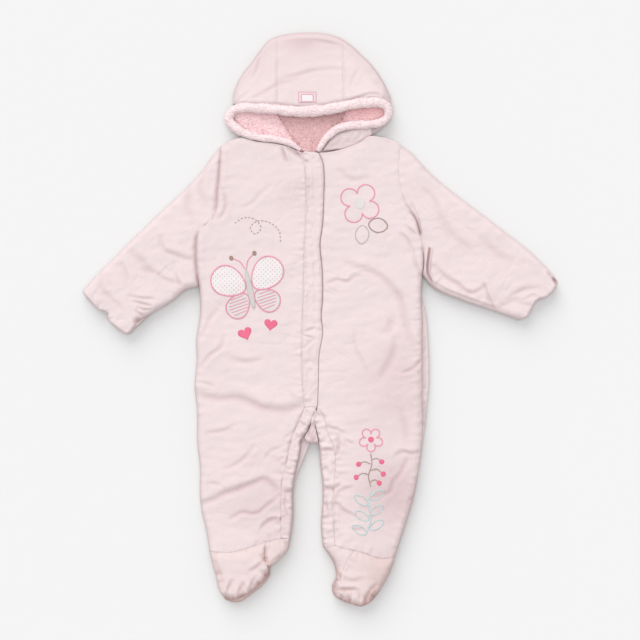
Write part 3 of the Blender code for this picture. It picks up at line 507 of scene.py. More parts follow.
# %% Mesh from arrays
def add_piece(name, points, faces, material, marks, uv=None, cut_faces=0):
    """Object from points in millimetres and quads; fold marks and UVs are one value per point.

    The last cut_faces quads are the cut edge of a cloth and stay flat.
    """
    points, faces = np.asarray(points, float) * MM, np.asarray(faces, int)
    a, b, c, d = (points[faces[:, corner]] for corner in range(4))
    volume = (np.einsum("ij,ij->i", a, np.cross(b, c)) + np.einsum("ij,ij->i", a, np.cross(c, d))).sum()
    if volume < 0:
        faces = faces[:, ::-1]
    mesh = bpy.data.meshes.new(name)
    mesh.vertices.add(len(points))
    mesh.vertices.foreach_set("co", points.ravel())
    mesh.loops.add(faces.size)
    mesh.loops.foreach_set("vertex_index", faces.ravel())
    mesh.polygons.add(len(faces))
    mesh.polygons.foreach_set("loop_start", np.arange(0, faces.size, 4))
    mesh.update(calc_edges=True)
    mesh.attributes.new("fold", "FLOAT", "POINT").data.foreach_set("value", np.clip(marks, 0, 1).ravel())
    if uv is not None:
        mesh.uv_layers.new(name="along").data.foreach_set("uv", np.asarray(uv)[faces.ravel()].ravel())
    mesh.shade_smooth()
    if cut_faces:
        flat = np.arange(len(faces)) >= len(faces) - cut_faces
        mesh.attributes.new("sharp_face", "BOOLEAN", "FACE").data.foreach_set("value", flat)
    mesh.materials.append(material)
    piece = bpy.data.objects.new(name, mesh)
    bpy.context.scene.collection.objects.link(piece)
    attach(piece, "root")
    return piece


def grid_quads(rows, columns):
    """Corner numbers of each cell of a grid numbered row by row."""
    number = np.arange(rows * columns).reshape(rows, columns)
    return np.stack([number[:-1, :-1], number[1:, :-1], number[1:, 1:], number[:-1, 1:]], -1)


# Share of painted shade on steep cloth: walls and rolled edges are coloured darker.
STEEP_SHADE = 0.4


def steepness(surface):
    """0 on level cloth, 1 on a wall: 1 - |n_z|, with the normal n = (step down the rows) x (step across)."""
    normal = np.cross(np.gradient(surface, axis=0), np.gradient(surface, axis=1))
    return 1 - np.abs(normal[..., 2]) / (np.linalg.norm(normal, axis=-1) + 1e-9)


def wall(name, outer, inner, material, slot, marks, keep=None):
    """Closed piece between two surfaces on one grid; keep leaves out the cells of a gap."""
    rows_here, columns = outer.shape[:2]
    cells = grid_quads(rows_here, columns)
    cells = cells.reshape(-1, 4) if keep is None else cells[keep]
    count = rows_here * columns
    rim = np.stack([cells, np.roll(cells, -1, axis=1)], -1).reshape(-1, 2)
    code, back_code = rim[:, 0] * count + rim[:, 1], rim[:, 1] * count + rim[:, 0]
    rim = rim[~np.isin(code, back_code)]
    sides = np.stack([rim[:, 1], rim[:, 0], rim[:, 0] + count, rim[:, 1] + count], -1)
    faces = np.concatenate([cells, cells[:, ::-1] + count, sides])
    points = np.concatenate([outer.reshape(-1, 3), inner.reshape(-1, 3)])
    # Painted shade on the steep parts joins the piece's own marks; the inner face gets half of it.
    marked = (STEEP_SHADE * steepness(outer) + marks).ravel()
    marked = np.r_[marked, 0.5 * marked]
    used, faces = np.unique(faces, return_inverse=True)
    return add_piece(name, points[used], faces.reshape(-1, 4), material, marked[used], cut_faces=len(sides))


def slab(name, plan, low, high, material, slot, marks, keep=None):
    """Padded piece between a lower and an upper height on one plan grid."""
    shape = plan.shape[:2]
    outer = np.dstack([plan, np.broadcast_to(high, shape)])
    inner = np.dstack([plan, np.broadcast_to(low, shape)])
    return wall(name, outer, inner, material, slot, marks, keep)


def ring_cells(rings, sides, first=0):
    """Point numbers of closed rings, ring by ring, and the quads between them."""
    number = first + np.arange(rings * sides).reshape(rings, sides)
    turn = np.roll(number, -1, axis=1)
    return number, np.stack([number[:-1], number[1:], turn[1:], turn[:-1]], -1).reshape(-1, 4)


def tube(name, outer, inner, material, marks):
    """Cloth tube, open at both ends: rings of an outer face, fewer rings of an inner face, two hems."""
    outside, outer_skin = ring_cells(*outer.shape[:2])
    inside, inner_skin = ring_cells(*inner.shape[:2], outside.size)
    hems = [np.stack([a, np.roll(a, -1), np.roll(b, -1), b], -1)
            for a, b in ((outside[end], inside[end]) for end in (0, -1))]
    faces = np.concatenate([outer_skin, inner_skin[:, ::-1], hems[0], hems[1][:, ::-1]])
    points = np.concatenate([outer.reshape(-1, 3), inner.reshape(-1, 3)])
    return add_piece(name, points, faces, material, np.r_[marks.ravel(), np.zeros(inside.size)])


def around(plan):
    """Outline of a plan grid, once round."""
    return np.vstack([plan[0], plan[:, -1], plan[-1, ::-1], plan[::-1, 0]])


def cut_piece(node_name, plan, low, high, material, *, marks, keep=None, slot="shell",
              shown=None):
    """Padded piece that stands for one solid and hides that solid; the shown plan is not used."""
    name = f"{node_name}_{'plush' if slot == 'plush' else 'cloth'}"
    piece = slab(name, plan, low, high, material, slot, marks, keep)
    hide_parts(node_name)
    shown = plan if shown is None else shown


# %% [markdown]
# ## Seam lines of the body
# The side seams, the armholes and the front opening are the lines that every body piece is cut to.
# Short runs of points, from the hood end to the foot end, are enough for the smooth cubic.

# %% Seam lines, in millimetres
ARMHOLE_RIGHT = xy("-121 210.5  -121.5 200  -124.5 160  -128.5 128  -149 103  -151 80  "
                   "-149.4 55  -147.6 40")
SIDE_RIGHT = xy("-147.6 40  -146 22  -147.5 -2  -151 -24  -150.5 -50  -153 -80  "
                "-150 -110  -150 -150")
LEG_SIDE_RIGHT = xy("-150 -150  -146.5 -180  -146.5 -216  -144 -236  -139 -256  -135 -283")
ARMHOLE_LEFT = xy("97.6 213  96.5 170  107 136  117 122  123 99  126.5 68  125 54")
FRONT_SIDE_LEFT = xy("125 54  124 27  125 0  124.5 -30  124.5 -105")
FRONT_LEG_SIDE_LEFT = xy("124.5 -105  124.5 -140  121 -178  115 -214  103 -254  92 -288.5")
BACK_SIDE_LEFT = xy("125 54  124.4 28  129 10  131.8 -21  133 -50  133 -80  130.5 -109  "
                    "125.7 -152")
BACK_LEG_SIDE_LEFT = xy("125.7 -152  122 -177  118 -197  109 -236  102 -256  92 -288.5")
UNDERLAP_LINE = xy("-18 200  -15.4 180  -14 146  -16.4 85  -17.9 19  -19.3 -31  -18.2 -80  "
                   "-16 -105")
STITCH_LINE = xy("-20.8 203  -18 180  -16.8 146  -19.2 85  -20.7 19  -22.1 -31  -21 -80  "
                 "-18.8 -107")
LAP_EDGE = xy("-1.6 203  3.6 190.5  5 176  4.6 148  2.7 112  0.2 95  2.6 60  2.7 20  "
              "1.2 5  3 -15  -1.1 -41  -2.4 -81  -3.3 -106")
BAND_RIGHT_OUTER = xy("-18.8 -107.06  -24.9 -123  -32.5 -140  -37.6 -159  -40.6 -174  -45.4 -192  "
                      "-47.2 -210  -47.6 -245  -47.6 -267")
BAND_RIGHT_INNER = xy("-3.7 -106.06  -8.5 -116.5  -13.4 -131  -22 -147  -24.4 -165  -28 -180  "
                      "-32.4 -205  -32.9 -245  -36 -267")
BAND_LEFT_OUTER = xy("-3.2 -106  2.4 -114  7.3 -128.7  9.5 -137  12.2 -144.6  17 -155.6  "
                     "18.5 -183.6  16 -209  16 -245  18.3 -275")
BAND_LEFT_INNER = xy("-3.8 -110.6  -6.6 -120  -4.6 -132  -2 -143  -0.8 -154  0.4 -177  "
                     "3 -200  3.4 -220  1.4 -250  3.4 -276.5")
INNER_LEG_RIGHT = xy("-13.4 -152  -17.5 -163  -23.2 -177  -30.5 -197  -33 -217  -35.4 -256  "
                     "-37.5 -266.5")
INNER_LEG_LEFT = xy("-1.2 -152  0 -177  2.6 -197  3 -217  1 -252  3 -276.5")
ANKLE_RIGHT, ANKLE_LEFT = xy("-111 -283.6  -75 -274  -61 -269"), xy("26 -277.6  50 -283.6  77 -291")
print("seam lines:", 17)

# %% Shared rows down the body, and the heights of the layers
BACK_WALL, FRONT_BASE, FRONT_WALL, FRONT_CROWN, THINNEST = 8.0, 8.3, 9.5, 1.6, 1.4
LEAST_TOP = FRONT_BASE + THINNEST
UNDERLAP_WALL, PLACKET_BASE, PLACKET_WALL = 4.2, 12.9, 6.3
ARM_AT = np.r_[0.0, 0.002, 0.006, 0.012, np.linspace(0.022, 1.0, round(172 / CELL))]
SIDE_AT = np.linspace(0, 1, round(190 / CELL) + 1)[1:]
LEG_AT = np.r_[np.linspace(0, 0.982, round(145 / CELL))[1:], 0.989, 0.995, 1.0]
BODY_AT = np.r_[0.0, 0.001, 0.003, 0.006, np.linspace(0.012, 1.0, len(ARM_AT) + len(SIDE_AT) - 4)]


def body_edge(armhole, side, leg):
    """Outer edge of a body piece from the shoulder to the ankle, in the shared rows."""
    return np.vstack([course(armhole, ARM_AT), course(side, SIDE_AT), course(leg, LEG_AT)])


def middle_edge(body, leg):
    """Inner edge of a body piece: down the middle to the crotch, then down the leg."""
    return np.vstack([course(body, BODY_AT), course(leg, LEG_AT)])


CROTCH_ROW = len(BODY_AT) - 1
ARM_END = len(ARM_AT) - 1
outer_right = body_edge(ARMHOLE_RIGHT, SIDE_RIGHT, LEG_SIDE_RIGHT)
outer_left = body_edge(ARMHOLE_LEFT, FRONT_SIDE_LEFT, FRONT_LEG_SIDE_LEFT)
print("rows down the body:", len(outer_right))

# %% [markdown]
# ## Main folds
# The wearer moved in it and it was folded away, so each big fold has its own place, depth and width.
# Each row of a table is one fold, in millimetres: its depth and half width, then the points of its
# line. The raised lip lies on the left of the line.

# %% Folds of the body
ARMHOLE_FOLDS = folds("""
1.7 3  -121.4 203  -122.5 180  -125.4 152  -128.8 124
2 3.2  -150.6 104  -151.4 85  -150 60  -148.4 46
""")
BODY_FOLDS = ARMHOLE_FOLDS + folds("""
1.8 1.6  -20 -110  -25 -123  -33 -140  -38 -159  -41 -174
1.6 2.6  -116 -20  -121 -34  -134 -44  -142 -54  -145 -58
1.2 2  -149 -76  -139 -78  -130 -81
2.3 5  -148 -91  -124 -97  -104 -95  -86 -100  -70 -108  -56 -110  -36 -110  -24 -105  -15 -103
1.2 2.6  -136 -138  -124 -137  -113 -134  -104 -129
1.3 2.2  -34 -138  -39 -142  -44 -146
1.2 2  -36 -90  -33 -93  -30 -97
1.5 2.8  -80 -154  -89 -166  -100 -175  -115 -182
1.3 2.4  -49 -156  -59 -160  -66 -169
1.2 2.2  -42 -166  -46 -169  -52 -173
2.5 3.8  -145 -224  -130 -219  -114 -211  -98 -206  -81 -199  -67 -195  -58 -202  -54 -208
1.2 2.2  -136 -199  -129 -200  -122 -202
2.1 2.4  -49 -213  -57 -221  -66 -228  -73 -234  -82 -237  -93 -235  -109 -243
2.3 2.6  -71 -254  -65 -247  -56 -243  -47 -243  -43 -241  -38 -237
1.3 3  -126 10  -133 2  -140 -13  -144 -20
1.1 2.8  -61 162  -73 152  -82 142  -94 136
1.6 2.4  -119 157  -114 142  -116 131  -121 123
3 1.8  -46 209  -44 202  -41 192
3 1.8  -40 209  -30 202  -21 195
1.6 1.6  -33 208  -27 202  -20 200
1.1 3.4  -110 -47  -93 -52  -71 -49
1.7 4.2  34 69  49 62  67 56  79 47  90 36  98 24  101 12  106 -8  111 -25  116 -37
1.5 2.4  8 43  21 48  33 46  43 52  50 53
1.6 4.6  87 2  84 -13  77 -16
1.7 4.6  92 -25  89 -43  82 -57  76 -68
1.1 2.4  43 -13  43 -34  49 -47  56 -62  57 -69
2.1 2.2  123 -48  118 -56  109 -62  101 -65
1.4 1.8  17 -170  17 -178  18 -186
2.5 2.2  7 -195  15 -208  11 -217
1.7 1.8  15 -208  20 -204  24 -201
1.6 1.8  23 -209  30 -206  39 -204
1.8 2.2  19 -221  28 -232  44 -240
1.3 1.6  8 -221  9 -240  13 -253
1.2 1.6  19 -219  18 -238  19 -259
1.2 2  31 -147  35 -149  40 -151
2 2.2  92 -165  102 -161  111 -163  121 -161
1.9 2.8  106 -171  99 -186  88 -200  86 -209  75 -214  68 -216
1.1 1.8  106 -222  110 -220  114 -218
1.2 2  39 -255  44 -256  51 -256
1.2 4.5  99 -112  104 -132  106 -152
1.8 1.7  1 -113  4 -118  5 -126
1.6 1.8  7 -131  18 -133  28 -137
2.3 1.8  22 -143  23 -156  19 -165  15 -166
1.8 1.7  3 -158  8 -159  11 -166
1.4 2  105 113  111 108  117 102
1.5 2.2  98 104  107 96  112 85
1.8 2  114 82  116 69  120 59  122 54
1.1 3.2  24 180  39 170  59 173
""")
POPPERS = xy("-11 190.9  -9.8 142.1  -12.2 93.3  -11 43.3  -11 -9.2  -12.2 -56.7  "
             "-13.4 -95.8")
print("folds of the body:", len(BODY_FOLDS))

# %% Folds of the sleeves, the hood, the feet and the inner leg bands
ARMPIT_SLIT = xy("133.6 86  132.4 77.5  130.9 66.5  131.5 55.5  135.4 47")
SLEEVE_FOLDS = ARMHOLE_FOLDS + folds("""
1.5 3  -195 99  -190 85  -176 78  -149 70
1.2 3  -215 60  -200 56  -188 48  -171 44
1.4 2  -175 54  -173 48  -171 41
1.3 5  -159 163  -162 141  -154 119
1.4 4.5  -229 82  -217 70  -207 56
1.6 1.7  -226 22  -216 19  -205 16
1.6 1.6  -222 14  -215 12  -206 12
1.9 1.7  -224 10  -220 7  -216 4
1.3 1.9  -232 29  -220 26  -202 25
1.3 3.4  -268 54  -265 36  -254 24  -244 16
1.2 3.4  -140 180  -146 158  -139 138
1.1 3  -246 70  -237 58  -234 41
1.8 2.8  140 64  156 49  167 43  174 37  184 32  194 35  200 40
1.9 1.8  200 43  205 28  213 10
1.2 4.2  217 15  226 18  238 23  248 18  256 12
1.4 3  234 29  249 36  266 38
1.2 1.4  111 142  118 128  122 115  123 102
1.1 1.4  137 46  156 35  174 28  193 21  211 15
2.6 1.6  278 57  283 52  287 47
6 1.7  285 49  287 47  288 44
1.6 2  270 24  261 29  249 24
1.3 5  146 124  161 102  183 85
1.2 5  198 97  217 78  234 70
1.1 3.4  127 158  142 141  146 124
""") + [(5.5, 1.1, ARMPIT_SLIT)]
HOOD_FOLDS = folds("""
1 2.5  -51 290  -43 293  -30 296  -14 301  5 304  26 304
0.9 2.4  -85 268  -77 271  -62 279  -52 285  -36 289  -26 292
0.9 1.8  -104 262  -95 271  -88 276
1.4 1.8  -74 322  -76 307  -82 293
1.4 1.8  39 267  53 272  62 274  73 273  79 268
1.1 2.2  48 305  42 296  37 284
1.2 2.4  -6 340  10 337  28 334
""")
FOOT_FOLDS = folds("""
3.2 1.8  -66 -278  -66 -285  -66 -293
2.4 1.9  -71 -287  -66 -293  -60 -297
1.8 1.8  -64 -295  -57 -292  -49 -287
1.5 2.2  -85 -306  -76 -300  -68 -293
1.8 1.9  -115 -337  -112 -328  -107 -318
1.8 2  -100 -340  -98 -330  -93 -322
1.5 2  -85 -330  -83 -322  -78 -313
1.2 3  -127 -293  -122 -308  -117 -323
2.6 1.9  20 -328  29 -328  43 -328
1.6 1.6  30 -331  33 -336  36 -342
1.3 1.6  22 -332  26 -336  30 -339
3 2.6  68 -323  60 -332  54 -349
2 1.9  68 -328  63 -337  60 -343
1.4 2  46 -330  48 -339  46 -347
1.3 2.4  29 -315  39 -318  51 -315
1.5 1.8  13 -288  16 -292  20 -297
2.2 1.8  21 -304  24 -312  24 -320
""")
BAND_FOLDS = folds("""
3.4 1.6  -12 -128  -13.4 -131  -15.5 -134.5
2.6 1.6  -21.4 -145  -23 -148  -23.6 -152
2.2 1.8  -47 -209.2  -40.3 -209.5  -32.9 -208.6
1.6 1.3  -41.6 -216.5  -42.7 -227.5  -39 -239.7
1.3 1.4  -23.4 -170.8  -29.3 -172.6  -34.2 -171.4
1.4 1.4  -12.6 -130.3  -19.5 -128.7  -24.4 -125
1.4 1.6  -19.6 -141.3  -25.6 -143.3  -30.5 -142.1
1.6 1.6  -27.3 -187.3  -35.4 -188.5  -42.7 -186
1.5 1.6  -35.4 -244.6  -41.5 -243.4  -47.6 -244.6
1.3 1.4  -36.6 -264.1  -42.7 -261.7  -48.8 -262.9
1.2 1.2  -25.6 -116.5  -20.7 -112.8  -14.6 -112.8
1 1.2  -20.7 -121.4  -25.6 -131.2  -28.1 -139.7
2.6 2  2.4 -159.2  9.8 -158  17.1 -160.4
3.4 2.4  3.7 -206.8  8.8 -205.6  16.3 -205.8
1.2 2.6  2.4 -238.7  7.8 -240.9  13.5 -238.5
1.6 1.5  8.4 -213  7.4 -226  10.4 -238
1.8 1.8  -1.2 -134.8  4.9 -132.4  11 -132.4
1.1 2.2  2.4 -182.4  6.8 -181.2  10.1 -183.6
1.1 2  6.4 -262.5  10.8 -260.7  17.1 -257.2
""")
print("folds elsewhere:", len(SLEEVE_FOLDS) + len(HOOD_FOLDS) + len(FOOT_FOLDS) + len(BAND_FOLDS))

# %% [markdown]
# ## The back
# The back is one cut piece with both back legs, and everything else lies on it. Little of it shows:
# the strip that wraps round the wearer's left side, the narrow line beside the other pieces, and the
# whole underside. It is padded and rounds up at its edge, and its underside rests on the table, so
# only shallow ripples lift from it.

# %% Plan and heights of the back
inner_back_right = middle_edge(xy("-50 221.8  -40 120  -20 -80  -13.4 -152"), INNER_LEG_RIGHT)
inner_back_left = middle_edge(xy("20 221.8  20 120  4 -80  -1.2 -152"), INNER_LEG_LEFT)
outer_back_left = body_edge(ARMHOLE_LEFT, BACK_SIDE_LEFT, BACK_LEG_SIDE_LEFT)
across_back = spacing(115, 5.0)
back_plan = np.hstack([
    patch(outer_right, inner_back_right, across_back, top=xy("-98 221  -84 221.4  -70 221.8"),
          bottom=ANKLE_RIGHT),
    patch(inner_back_left, outer_back_left, across_back, top=xy("40 221.8  64 221.4  91 217.5"),
          bottom=ANKLE_LEFT)])
back_keep = np.ones((back_plan.shape[0] - 1, back_plan.shape[1] - 1), bool)
back_keep[CROTCH_ROW:, len(across_back) - 1] = False
FLOOR_EDGE = (7.0, 0.14)
back_sides = [(outer_right[ARM_END:], FLOOR_EDGE), (outer_back_left[ARM_END:], FLOOR_EDGE),
              (inner_back_right[CROTCH_ROW:], FLOOR_EDGE), (inner_back_left[CROTCH_ROW:], FLOOR_EDGE)]
back_round = swell(back_plan, back_sides)
ripples = 0.35 * np.abs(waves(back_plan, 46, 90, 2.0, 0.2)) * back_round
back_low = np.minimum(BACK_WALL * 0.72 * (1 - back_round) + ripples, BACK_WALL - THINNEST)
back_high = BACK_WALL - 2.6 * (1 - swell(back_plan, [(outer_back_left[ARM_END:], (7.0, 0.2))])) \
    + puckers(back_plan, [(outer_back_left[ARM_END:], 0.35, 8, 9, 91)])
# Painted shade on the back's narrow strip beside the left front's side seam.
back_marks = 0.3 * np.exp(-near(back_plan, outer_left[ARM_END:])[0] / 2.0)
cut_piece("back", back_plan, back_low, back_high, SHELL, keep=back_keep, marks=back_marks)

# %% [markdown]
# ## The two fronts
# Each front is a padded piece from the side seam to the opening, and it runs down into the leg. The
# wadding rounds off at the free side, the seams press it flatter, and they pull short ripples into the
# cloth. A patch grid with a height function keeps the seams exactly where the neighbours need them.

# %% The wearer's right front
inner_right = middle_edge(STITCH_LINE + (-0.03, 0), BAND_RIGHT_OUTER + (-0.03, 0))
right_plan = patch(outer_right, inner_right, spacing(122),
                   top=xy("-109 217.5  -98 220.8  -75.6 216.3  -55 214.2  -38 210  -29 205.6"),
                   bottom=ANKLE_RIGHT)
ARMHOLE_RIGHT_EDGE = [(0, 0.9), (0.42, 0.93), (0.47, 0.985), (0.6, 0.985), (0.66, 0.93), (0.9, 0.9), (1, 0.4)]
RIGHT_BORDERS = [
    (outer_right[ARM_END:], (8.0, 0.14)),
    (outer_right[:ARM_END + 1], (4.0, ARMHOLE_RIGHT_EDGE)),
    (right_plan[0], (4.0, 0.92)), (inner_right, (3.0, 0.97)), (right_plan[-1], (4.0, 0.98))]
RIGHT_SEAMS = [
    (inner_right, 0.35, 8, 8, 11), (outer_right[ARM_END:], 0.4, 8, 11, 12),
    (outer_right[:ARM_END + 1], 0.3, 7, 10, 13), (right_plan[0], 0.3, 6, 9, 14),
    (right_plan[-1], 0.4, 7, 9, 15), (inner_right[CROTCH_ROW:], 0.7, 9, 10, 16)]


# Broad painted shade on a few areas of the suit, each a centre, a reach and an amount.
SHADE_PATCHES = [(np.array(centre, float), reach, amount) for centre, reach, amount in (
    ((96, -85), 50, 0.31), ((88, -215), 44, 0.55), ((-62, -225), 50, 0.24), ((-30, 150), 26, 0.16),
    ((-20, 345), 20, 0.35), ((80, -308), 30, 0.34), ((-40, 300), 60, 0.08))]


def front_top(borders, seams):
    """Height: base + (wall + crown)·swell - folds + puckers + rumple; the crown grows over 60 mm."""
    def height(plan):
        crown = FRONT_CROWN * np.clip(near(plan, borders[0][0])[0] / 60, 0, 1)
        full = swell(plan, borders)
        return (FRONT_BASE + (FRONT_WALL + crown) * full - fold_depth(plan, BODY_FOLDS)
                + puckers(plan, seams) + rumple(plan) * np.minimum(full * 1.2, 1))

    return height


right_front_top = front_top(RIGHT_BORDERS, RIGHT_SEAMS)


def painted_shade_marks(plan, seams, folds, width=1.6):
    """Painted shade: near the cloth's seams, a little in its folds, and on a few broad patches."""
    closeness = sum(strength * np.exp(-(near(plan, line)[0] / width) ** 2) for line, strength in seams)
    patch_shade = sum(amount * np.exp(-(np.linalg.norm(plan - centre, axis=-1) / reach) ** 2)
                 for centre, reach, amount in SHADE_PATCHES)
    return closeness + patch_shade + 0.2 * np.clip(fold_depth(plan, folds, 0.0), 0, 2.4)


ARMHOLE_RIGHT_UPPER = outer_right[:int(0.45 * ARM_END)]
ARMHOLE_RIGHT_LOWER = outer_right[int(0.66 * ARM_END):ARM_END + 4]
# Painted shade along the armhole's folds, the neck and the opening, and on the outer side's rolled edge.
cut_piece("front_right", right_plan, FRONT_BASE, right_front_top(right_plan), SHELL, marks=painted_shade_marks(
    right_plan, [(inner_right, 0.08), (ARMHOLE_RIGHT_UPPER, 0.35), (ARMHOLE_RIGHT_LOWER, 0.4), (right_plan[0], 0.2),
                 (outer_right[ARM_END:], 0.25)], BODY_FOLDS))

# %% The wearer's left front, with the underlap hidden below the opening's band
lap_line = middle_edge(LAP_EDGE + (0.1, 0), BAND_LEFT_OUTER + (0.03, 0))
hidden_line = middle_edge(UNDERLAP_LINE, BAND_LEFT_OUTER + (-10, 0))
main_left = patch(lap_line, outer_left, spacing(122),
                  top=xy("6 203.2  31.7 209  49.4 216.2  62 223.4  70 222.6  91 216.8"),
                  bottom=ANKLE_LEFT)
hidden_share = np.linspace(0, 1, 5)[:-1]
hidden_part = ((1 - hidden_share[None, :, None]) * hidden_line[:, None]
               + hidden_share[None, :, None] * lap_line[:, None])
left_plan = np.hstack([hidden_part, main_left])
left_keep = np.ones((left_plan.shape[0] - 1, left_plan.shape[1] - 1), bool)
left_keep[CROTCH_ROW:, :len(hidden_share)] = False
ARMHOLE_LEFT_EDGE = [(0, 0.93), (0.36, 0.94), (0.48, 0.8), (0.6, 0.55), (0.69, 0.5), (0.73, 0.88), (0.79, 0.86),
                     (0.83, 0.5), (1, 0.25)]
LEFT_SIDE_EDGE = [(0, 0.14), (0.12, 0.2), (0.25, 0.45), (0.4, 0.6), (0.62, 0.55), (0.75, 0.3), (1, 0.14)]
LAP_LINE_EDGE = [(0, 0.8), (0.2, 0.84), (0.4, 0.8), (0.52, 0.92), (0.6, 0.97), (1, 0.98)]
LEFT_BORDERS = [
    (outer_left[ARM_END:], (8.0, LEFT_SIDE_EDGE)), (outer_left[:ARM_END + 1], (4.0, ARMHOLE_LEFT_EDGE)),
    (main_left[0], (4.0, 0.93)), (lap_line, (3.4, LAP_LINE_EDGE)), (main_left[-1], (4.0, 0.97))]
LEFT_SEAMS = [
    (lap_line, 0.3, 8, 12, 31), (outer_left[ARM_END:], 0.5, 8, 8, 32),
    (outer_left[:ARM_END + 1], 0.3, 7, 10, 33), (main_left[0], 0.3, 6, 9, 34),
    (main_left[-1], 0.4, 7, 9, 35), (lap_line[CROTCH_ROW:], 0.9, 10, 9, 36)]
left_front_top = front_top(LEFT_BORDERS, LEFT_SEAMS)
ARMPIT_LEFT_LINE = outer_left[int(0.52 * ARM_END):int(0.70 * ARM_END)]
left_top = left_front_top(left_plan)
left_top[:, :len(hidden_share)] = FRONT_BASE + UNDERLAP_WALL
left_top[:CROTCH_ROW, len(hidden_share)] = np.minimum(left_top[:CROTCH_ROW, len(hidden_share)],
                                                      FRONT_BASE + UNDERLAP_WALL)
# Painted shade along the lap line, in the armpit fold, on the outer side's rolled edge and a little at the neck and
# ankle.
cut_piece("front_left", left_plan, FRONT_BASE, left_top, SHELL, keep=left_keep, shown=main_left,
          marks=painted_shade_marks(left_plan, [(lap_line[:CROTCH_ROW], 0.2), (ARMPIT_LEFT_LINE, 0.5),
                                       (outer_left[ARM_END:], 0.3), (main_left[0], 0.15), (main_left[-1], 0.06)],
                           BODY_FOLDS))

# %% [markdown]
# ## The opening: a stitched band over hidden poppers
# A double band is sewn along the right front and laps over the left one. Small press studs hold it
# underneath, and each one pulls a shallow dimple with short creases round it. The poppers themselves
# stay hidden below the narrow patch that shows these dimples.

# %% The band
stitched_line = course(STITCH_LINE + (0.03, 0), BODY_AT)
free_line = course(LAP_EDGE, BODY_AT)
band_plan = patch(stitched_line, free_line, spacing(23, min(CELL, 1.1)), top=xy("-19 204.8  -12 204.6  -5 204"))
BAND_FOLDS_FRONT = folds("""
0.7 1.3  -17.6 182.4  -17.6 170.2  -18.1 155.5
0.6 1.1  -13.4 184.8  -12.9 158  -13.9 127.5
0.7 1.1  -8.3 184.8  -7.8 162.9  -8.3 139.7
0.8 1.3  -11 119  -8.5 111.6  -11 105.5
0.8 1.3  -15.9 76.2  -17.1 62.8  -15.4 48.2
0.7 1.3  -6.5 75  -7.3 62.8  -6.5 48.2
0.8 1.3  -18.3 42.1  -20.3 18.9  -21.2 -0.6
0.6 1.2  -7.3 38.4  -6.1 23.8  -7.8 9.2
1.2 1.5  -20.7 -15.7  -13.4 -12.8  -6.1 -10.4
1.1 1.4  -20.7 -18.9  -14.6 -20.9  -8.5 -22.6
1.2 1.5  -6 -23.1  -13.4 -29.4  -19.5 -36
0.7 1.2  -12.8 -35.6  -12.2 -42.1  -10.6 -49.3
0.7 1.2  -15.4 -60.4  -14.6 -73.8  -15.4 -86
1 1.3  -6 -77.7  -9 -82.3  -11.7 -86.9
1 1.3  -15.1 -89.1  -18.3 -93.3  -20.3 -98.2
1.1 1.5  -20.7 194.6  -17.6 193.4  -14.6 192.2
0.9 1.4  -24.4 198.2  -19.5 194.6  -14.6 191.5
0.8 1.4  -3.7 199.5  -8.5 194.6  -11 189.7
""")

FREE_EDGE = [(0, 0.62), (0.6, 0.62), (0.75, 0.9), (1, 0.97)]


def loose_band_top(plan):
    """Band height: base + wall·swell, a ring dimple at each popper, creases and ripples at its two edges."""
    full = swell(plan, [(free_line, (2.6, FREE_EDGE)), (stitched_line, (2.2, 0.975)), (band_plan[0], (2.4, 0.6))])
    from_popper = np.min(np.linalg.norm(np.asarray(plan)[..., None, :] - POPPERS, axis=-1), axis=-1)
    dimple = 0.5 * np.exp(-((from_popper - 5.0) / 2.0) ** 2)
    return (PLACKET_BASE + PLACKET_WALL * full - dimple - fold_depth(plan, BAND_FOLDS_FRONT)
            - 0.4 * fold_depth(plan, BODY_FOLDS)
            + puckers(plan, [(stitched_line, 0.4, 4, 7, 51), (free_line, 0.35, 4, 8, 52)])
            + 0.12 * waves(plan, 8, 53, 1.6, 1.4) + rumple(plan))


band_top = joined(loose_band_top, stitched_line, right_front_top, 5.0)
cut_piece("placket", band_plan, PLACKET_BASE, band_top(band_plan), SHELL, marks=painted_shade_marks(
    band_plan, [(stitched_line, 0.06), (free_line, 0.2), (band_plan[0], 0.15)], BAND_FOLDS_FRONT, 1.2))


# %% Inner leg bands, drawn in at each popper
def leg_band(node_name, outer, inner, seed, leg_top, starts_as=None):
    """Narrow popper band: base + wall·swell - pinches + ripples along both of its edges.

    It is level with the leg along its seam, and the band that goes on from the front opening starts
    at that height as well.
    """
    outer_line, inner_line = course(outer, np.r_[0, LEG_AT]), course(inner, np.r_[0, LEG_AT])
    first, second = (outer_line, inner_line) if outer[-1][0] < inner[-1][0] else (inner_line, outer_line)
    plan = patch(first, second, spacing(15, min(CELL, 1.1)))
    borders = [(outer_line, (2.4, 0.96)), (inner_line, (4.6, [(0, 0.95), (0.2, 0.85), (0.3, 0.25), (1, 0.22)])),
               (plan[-1], (4.0, 0.97))]

    def loose(points):
        return (FRONT_BASE + 11.0 * swell(points, borders) - fold_depth(points, BAND_FOLDS)
                - 0.5 * fold_depth(points, BODY_FOLDS)
                + puckers(points, [(outer_line, 0.5, 5, 6, seed), (inner_line, 1.2, 4, 6, seed + 1)])
                + 0.4 * waves(points, 9, seed + 2, 1.5) + rumple(points))

    sewn = joined(loose, outer_line, leg_top, 5.0)
    if starts_as is not None:
        sewn = joined(sewn, plan[0], starts_as, 14.0)

    def top(points):
        return np.maximum(sewn(points), LEAST_TOP)

    cut_piece(node_name, plan, FRONT_BASE, top(plan), SHELL,
              marks=painted_shade_marks(plan, [(outer_line, 0.12), (inner_line, 0.3)], BAND_FOLDS, 1.2))
    return plan[-1], top


right_band_end, right_band_top = leg_band("leg_band_right", BAND_RIGHT_OUTER + (0.03, 0), BAND_RIGHT_INNER, 60,
                                          right_front_top, band_top)
left_band_end, left_band_top = leg_band("leg_band_left", BAND_LEFT_OUTER + (-0.03, 0), BAND_LEFT_INNER, 64,
                                        left_front_top)

